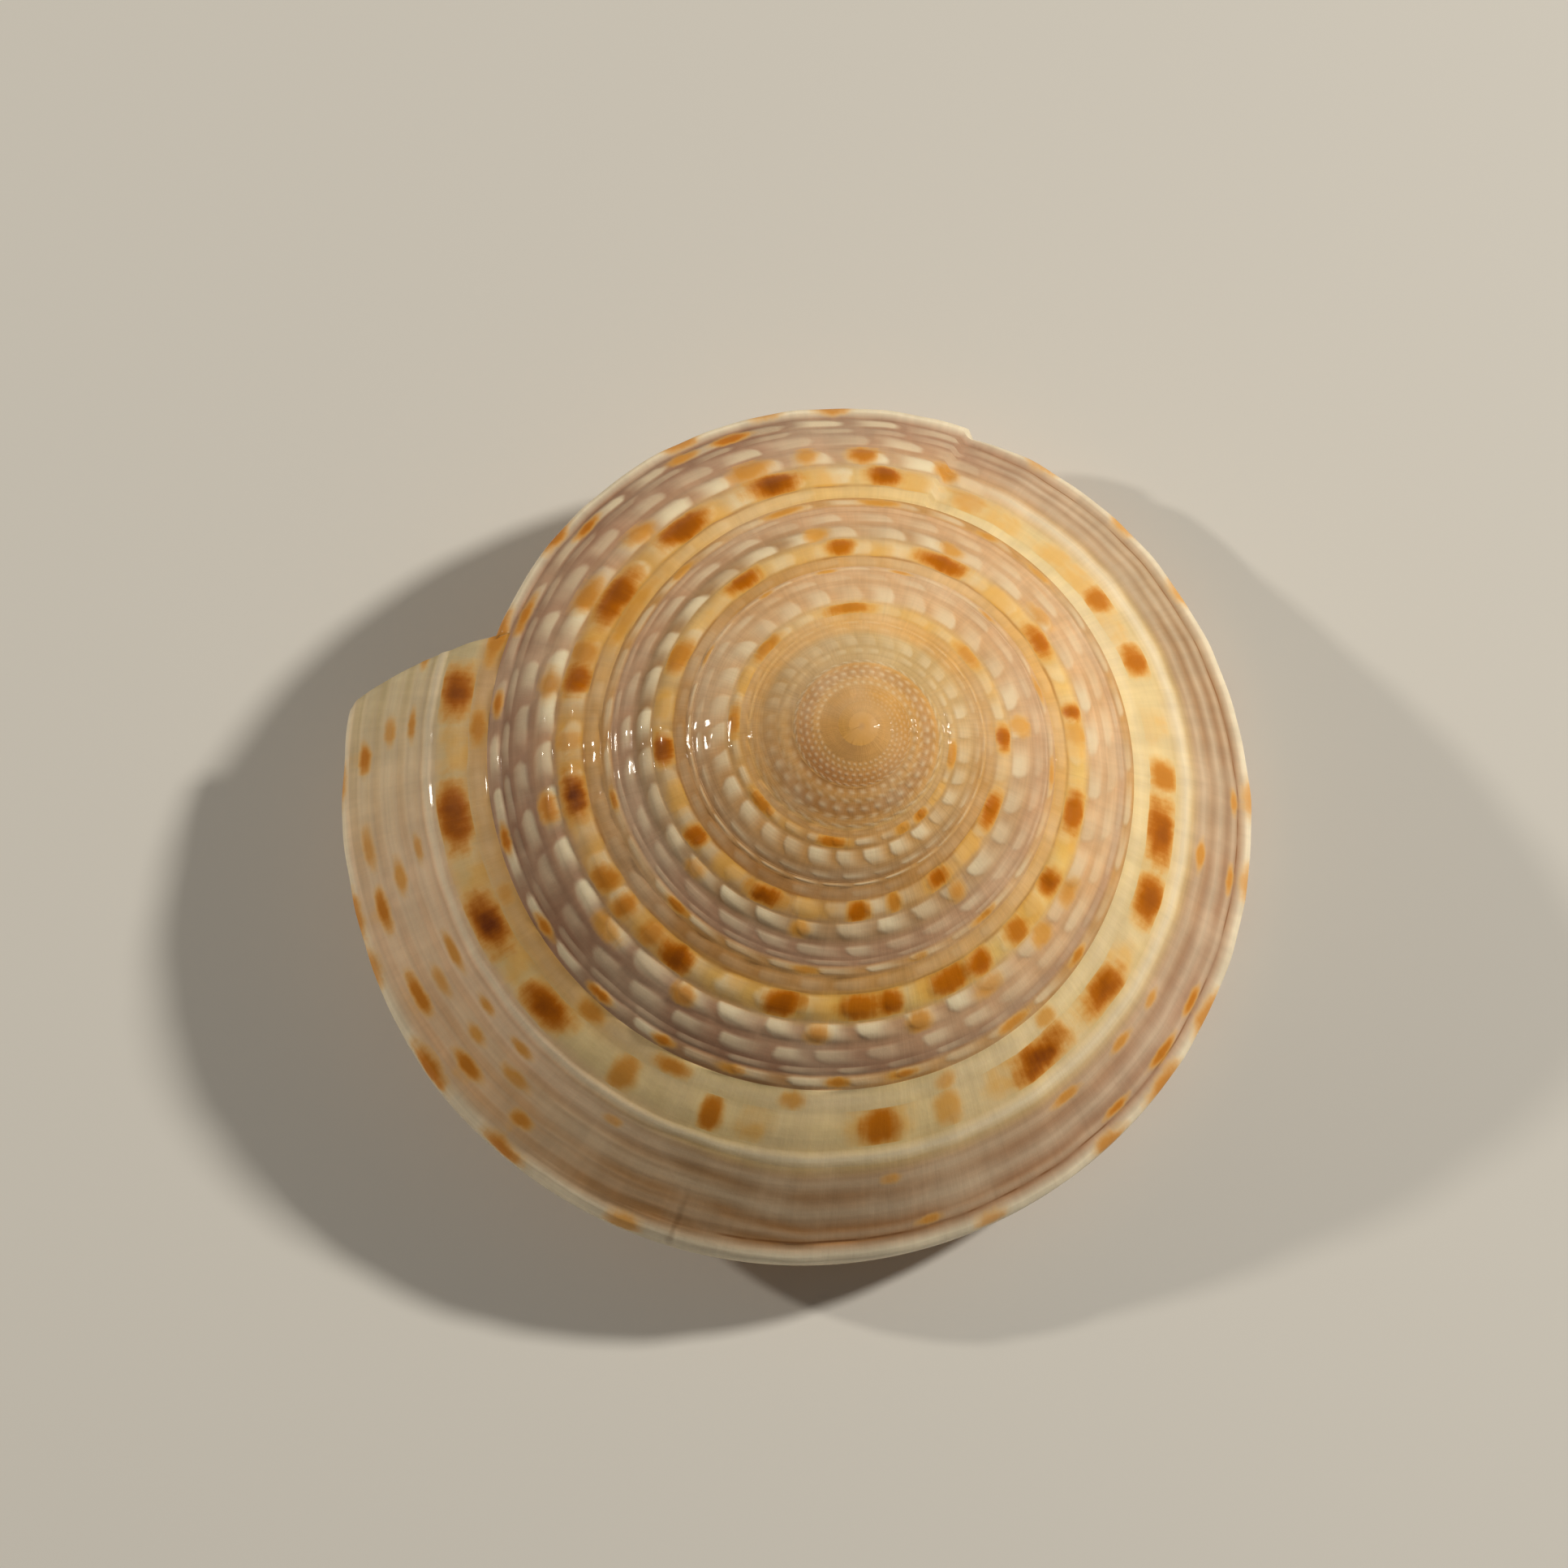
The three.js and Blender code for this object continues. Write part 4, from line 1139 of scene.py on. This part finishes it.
class ShellNodes(Nodes):
    """Nodes of the shell's material, with the facts and the noises that its patterns share."""

    def __init__(self, material):
        super().__init__(material)
        self.turn, self.across, self.phase = self.facts("place")
        self.depth, self.tone, self.stain_depth = self.facts("marks")
        self.contrast, self.cord_place, self.cord_number = self.facts("cord")
        growth_along = self.times(self.turn, GROWTH_LINES_PER_TURN)
        self.growth = self.noise(self.vector(growth_along, self.across), *GROWTH_NOISE)
        striae_along = self.times(self.turn, STRIAE_BREAKS_PER_TURN)
        striae_across = self.times(self.across, STRIAE_PER_WHORL)
        self.striae = self.noise(self.vector(striae_along, striae_across), *STRIAE_NOISE)
        spot = self.add("ShaderNodeTexCoord").outputs["Object"]
        self.milk, self.patch, self.fleck = (
            self.noise(spot, *kind) for kind in (MILK_NOISE, PATCH_NOISE, FLECK_NOISE)
        )

    def facts(self, name):
        """The three numbers that an attribute of the mesh holds."""
        attribute = self.add("ShaderNodeAttribute", attribute_name=name)
        return self.add("ShaderNodeSeparateXYZ", {0: attribute.outputs["Vector"]}).outputs[:3]

    def beads(self):
        """Form of the beads on the cords, and how much of their colour shows, by chance."""
        phase = self.swayed(self.phase, self.patch, BEAD_END_SWAY)
        number = self.vector(self.math("FLOOR", phase), self.cord_number)
        white = self.add("ShaderNodeTexWhiteNoise", {"Vector": number}, noise_dimensions="2D")
        chance = self.math("MULTIPLY_ADD", white.outputs[0], BEAD_CHANCE, BEAD_LEAST)
        tile = self.within(self.math("FRACT", phase), (0.0, TILE_RISE), (TILE_DROP, 1.0))
        off_middle = self.math("MULTIPLY_ADD", self.cord_place, 2.0, -1.0)
        off_middle = self.swayed(off_middle, self.fleck, BEAD_SIDE_SWAY)
        on_cord = self.within(off_middle, BEAD_INNER_EDGE, BEAD_OUTER_EDGE)
        form = self.times(tile, on_cord, self.contrast)
        return form, self.times(form, chance)

    def fine_beads(self):
        """Beads on the fine rows of the earliest whorls, and the gaps between them."""
        early = self.within(self.turn, FINE_FROM, FINE_TO)
        rows = self.times(self.across, FINE_ROWS)
        ahead = self.math("MULTIPLY_ADD", self.math("FLOOR", rows), FINE_AHEAD, self.phase)
        bead = self.times(self.row(rows, FINE_ROW_EDGE), self.row(ahead, FINE_BEAD_EDGE), early)
        return bead, self.math("SUBTRACT", early, bead)

    def threads(self):
        thread = self.row(self.times(self.across, THREADS_PER_WHORL), THREAD_EDGE)
        late = self.ramp(self.turn, *THREADS_FROM)
        return self.times(thread, late, self.ramp(self.across, *THREADS_ACROSS))

    def ground(self):
        """The ground colour with its veil, patches, growth lines and striae."""
        colour = self.add("ShaderNodeAttribute", attribute_name="ground").outputs["Color"]
        colour = self.mix_colour(self.ramp(self.milk, *MILK_VEIL), colour, MILK_COLOUR)
        colour = self.shade(colour, self.ramp(self.patch, *PATCH_SHADE))
        colour = self.shade(colour, self.ramp(self.growth, *GROWTH_SHADE))
        strength = self.ramp(self.across, *STRIAE_STRENGTH)
        striae = self.ramp(self.striae, *STRIAE_SHADE)
        return self.shade(colour, self.math("MULTIPLY_ADD", striae, strength, 1.0))

    def lined(self, colour):
        """A colour with the lines along the coil and the growth crack drawn over it."""
        for place, edge, start, end, patches, line_colour in COIL_LINES:
            line = self.ramp(self.off(self.across, place), *edge, 1.0, 0.0)
            shown = self.ramp(self.patch, *patches)
            line = self.times(line, self.within(self.turn, start, end), shown)
            colour = self.mix_colour(line, colour, rgba(line_colour))
        crack = self.off(self.swayed(self.turn, self.fleck, CRACK_SWAY), CRACK_TURN)
        crack = self.times(
            self.ramp(crack, *CRACK_EDGE), self.within(self.across, CRACK_FROM, CRACK_TO)
        )
        return self.mix_colour(crack, colour, CRACK_COLOUR)

    def marked(self, colour):
        """A colour with the stains laid over it, and the brown marks with their halo and core."""
        uneven = self.swayed(0.0, self.patch, PATCH_SWAY)
        uneven = self.swayed(uneven, self.fleck, FLECK_SWAY)
        uneven = self.swayed(uneven, self.growth, GROWTH_SWAY)
        depth = self.math("ADD", uneven, self.depth)
        deepest = self.math("ADD", uneven, self.math("MAXIMUM", self.depth, self.stain_depth))
        cover = self.ramp(self.tone, *TONE_COVER)
        stain = self.times(
            self.ramp(deepest, *STAIN_LAYER), self.ramp(self.patch, *STAIN_PATCHES)
        )
        rim = self.times(self.ramp(depth, *RIM_LAYER), cover)
        halo = self.times(self.ramp(depth, *HALO_LAYER), cover)
        core = self.times(self.ramp(depth, *CORE_LAYER), self.tone, self.tone)
        halo_colour = self.mix_colour(
            self.ramp(self.tone, *HALO_BY_TONE), GOLD_COLOUR, HALO_COLOUR
        )
        colour = self.mix_colour(self.math("MAXIMUM", stain, rim), colour, STAIN_COLOUR)
        colour = self.mix_colour(halo, colour, halo_colour)
        return self.mix_colour(core, colour, CORE_COLOUR)


def shell_material():
    material = bpy.data.materials.new("porcelain_shell")
    nodes = ShellNodes(material)
    bead, shown_bead = nodes.beads()
    fine_bead, fine_gap = nodes.fine_beads()
    thread = nodes.threads()
    colour = nodes.ground()
    for part, laid_over in (
        (nodes.times(thread, THREAD_PART), MILK_COLOUR),
        (shown_bead, BEAD_COLOUR),
        (nodes.times(fine_bead, FINE_BEAD_PART), BEAD_COLOUR),
        (nodes.times(fine_gap, FINE_GAP_PART), GAP_COLOUR),
    ):
        colour = nodes.mix_colour(part, colour, laid_over)
    patterns = (nodes.growth, nodes.striae, fine_bead, bead, thread, nodes.fleck)
    height = 0.0
    for pattern, part in zip(patterns, RELIEF_PARTS):
        height = nodes.math("MULTIPLY_ADD", pattern, part, height)
    relief = {"Height": height, "Strength": 1.0, "Distance": RELIEF_DEPTH}
    bump = nodes.add("ShaderNodeBump", relief)
    nodes.finish({
        "Base Color": nodes.marked(nodes.lined(colour)), "Normal": bump.outputs[0],
        "Roughness": nodes.ramp(nodes.fleck, *FLECK_ROUGHNESS), **PORCELAIN,
    })
    return material


def add_object(name, data):
    added = bpy.data.objects.new(name, data)
    bpy.context.scene.collection.objects.link(added)
    return added


def add_shell():
    shell = add_object("shell_surface", shell_mesh())
    shell.data.materials.append(shell_material())
    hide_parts("shell")
    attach(shell, "root")


# The camera looks down beside the coil axis, which leans from it towards an image direction.
IMAGE_SIDE = 1932
SENSOR_MM = 36
CLIP_START = 0.01
MM_PER_PIXEL = 0.033
CAMERA_DISTANCE = 400
APEX_PIXEL = (1062, 893)
VIEW_TILT = 14
VIEW_TOWARD = 112.6


def add_camera():
    right, down = ((pixel - IMAGE_SIDE / 2) * MM_PER_PIXEL for pixel in APEX_PIXEL)
    stand = Matrix.Translation((-right, down, CAMERA_DISTANCE))
    pose = LAID_DOWN @ tipped(VIEW_TILT, VIEW_TOWARD) @ stand
    data = bpy.data.cameras.new("view")
    data.sensor_width = SENSOR_MM
    data.lens = SENSOR_MM * CAMERA_DISTANCE / (IMAGE_SIDE * MM_PER_PIXEL)
    data.clip_start = CLIP_START
    camera = add_object("view", data)
    camera.matrix_world = Matrix.Translation(pose.translation / MM_PER_M) @ pose.to_3x3().to_4x4()
    bpy.context.scene.camera = camera


# Lights, all aimed at the middle: place and size in metres, power in watts, colour.
LIGHTS = {
    "key": ((0.33, 0.12, 0.26), 0.04, 1.44, (1.0, 0.94, 0.84)),
    "left": ((-0.30, 0.10, 0.20), 0.02, 0.44, (1.0, 0.92, 0.8)),
}
SKY_COLOUR = (1.0, 0.94, 0.86, 1.0)
SKY_STRENGTH = 0.09
FLOOR_SIDE = 3.0
FLOOR_COLOUR = (226, 224, 218)
FLOOR_ROUGHNESS = 0.9


def add_lights():
    for name, (place, size, power, colour) in LIGHTS.items():
        data = bpy.data.lights.new(name, "AREA")
        data.shape = "DISK"
        data.size = size
        data.energy = power
        data.color = colour
        light = add_object(name, data)
        light.location = place
        light.rotation_euler = Vector(place).to_track_quat("Z", "Y").to_euler()
    world = bpy.data.worlds.new("soft_sky")
    world.use_nodes = True
    sky = world.node_tree.nodes["Background"]
    sky.inputs["Color"].default_value = SKY_COLOUR
    sky.inputs["Strength"].default_value = SKY_STRENGTH
    bpy.context.scene.world = world
    bpy.context.scene.view_settings.view_transform = "Standard"


def add_floor():
    half = FLOOR_SIDE / 2
    corners = [(-half, -half, 0), (half, -half, 0), (half, half, 0), (-half, half, 0)]
    mesh = bpy.data.meshes.new("floor")
    mesh.from_pydata(corners, [], [(0, 1, 2, 3)])
    floor = add_object("floor", mesh)
    material = bpy.data.materials.new("pale_floor")
    Nodes(material).finish({"Base Color": rgba(FLOOR_COLOUR), "Roughness": FLOOR_ROUGHNESS})
    floor.data.materials.append(material)


add_camera()
add_lights()
add_floor()
add_shell()
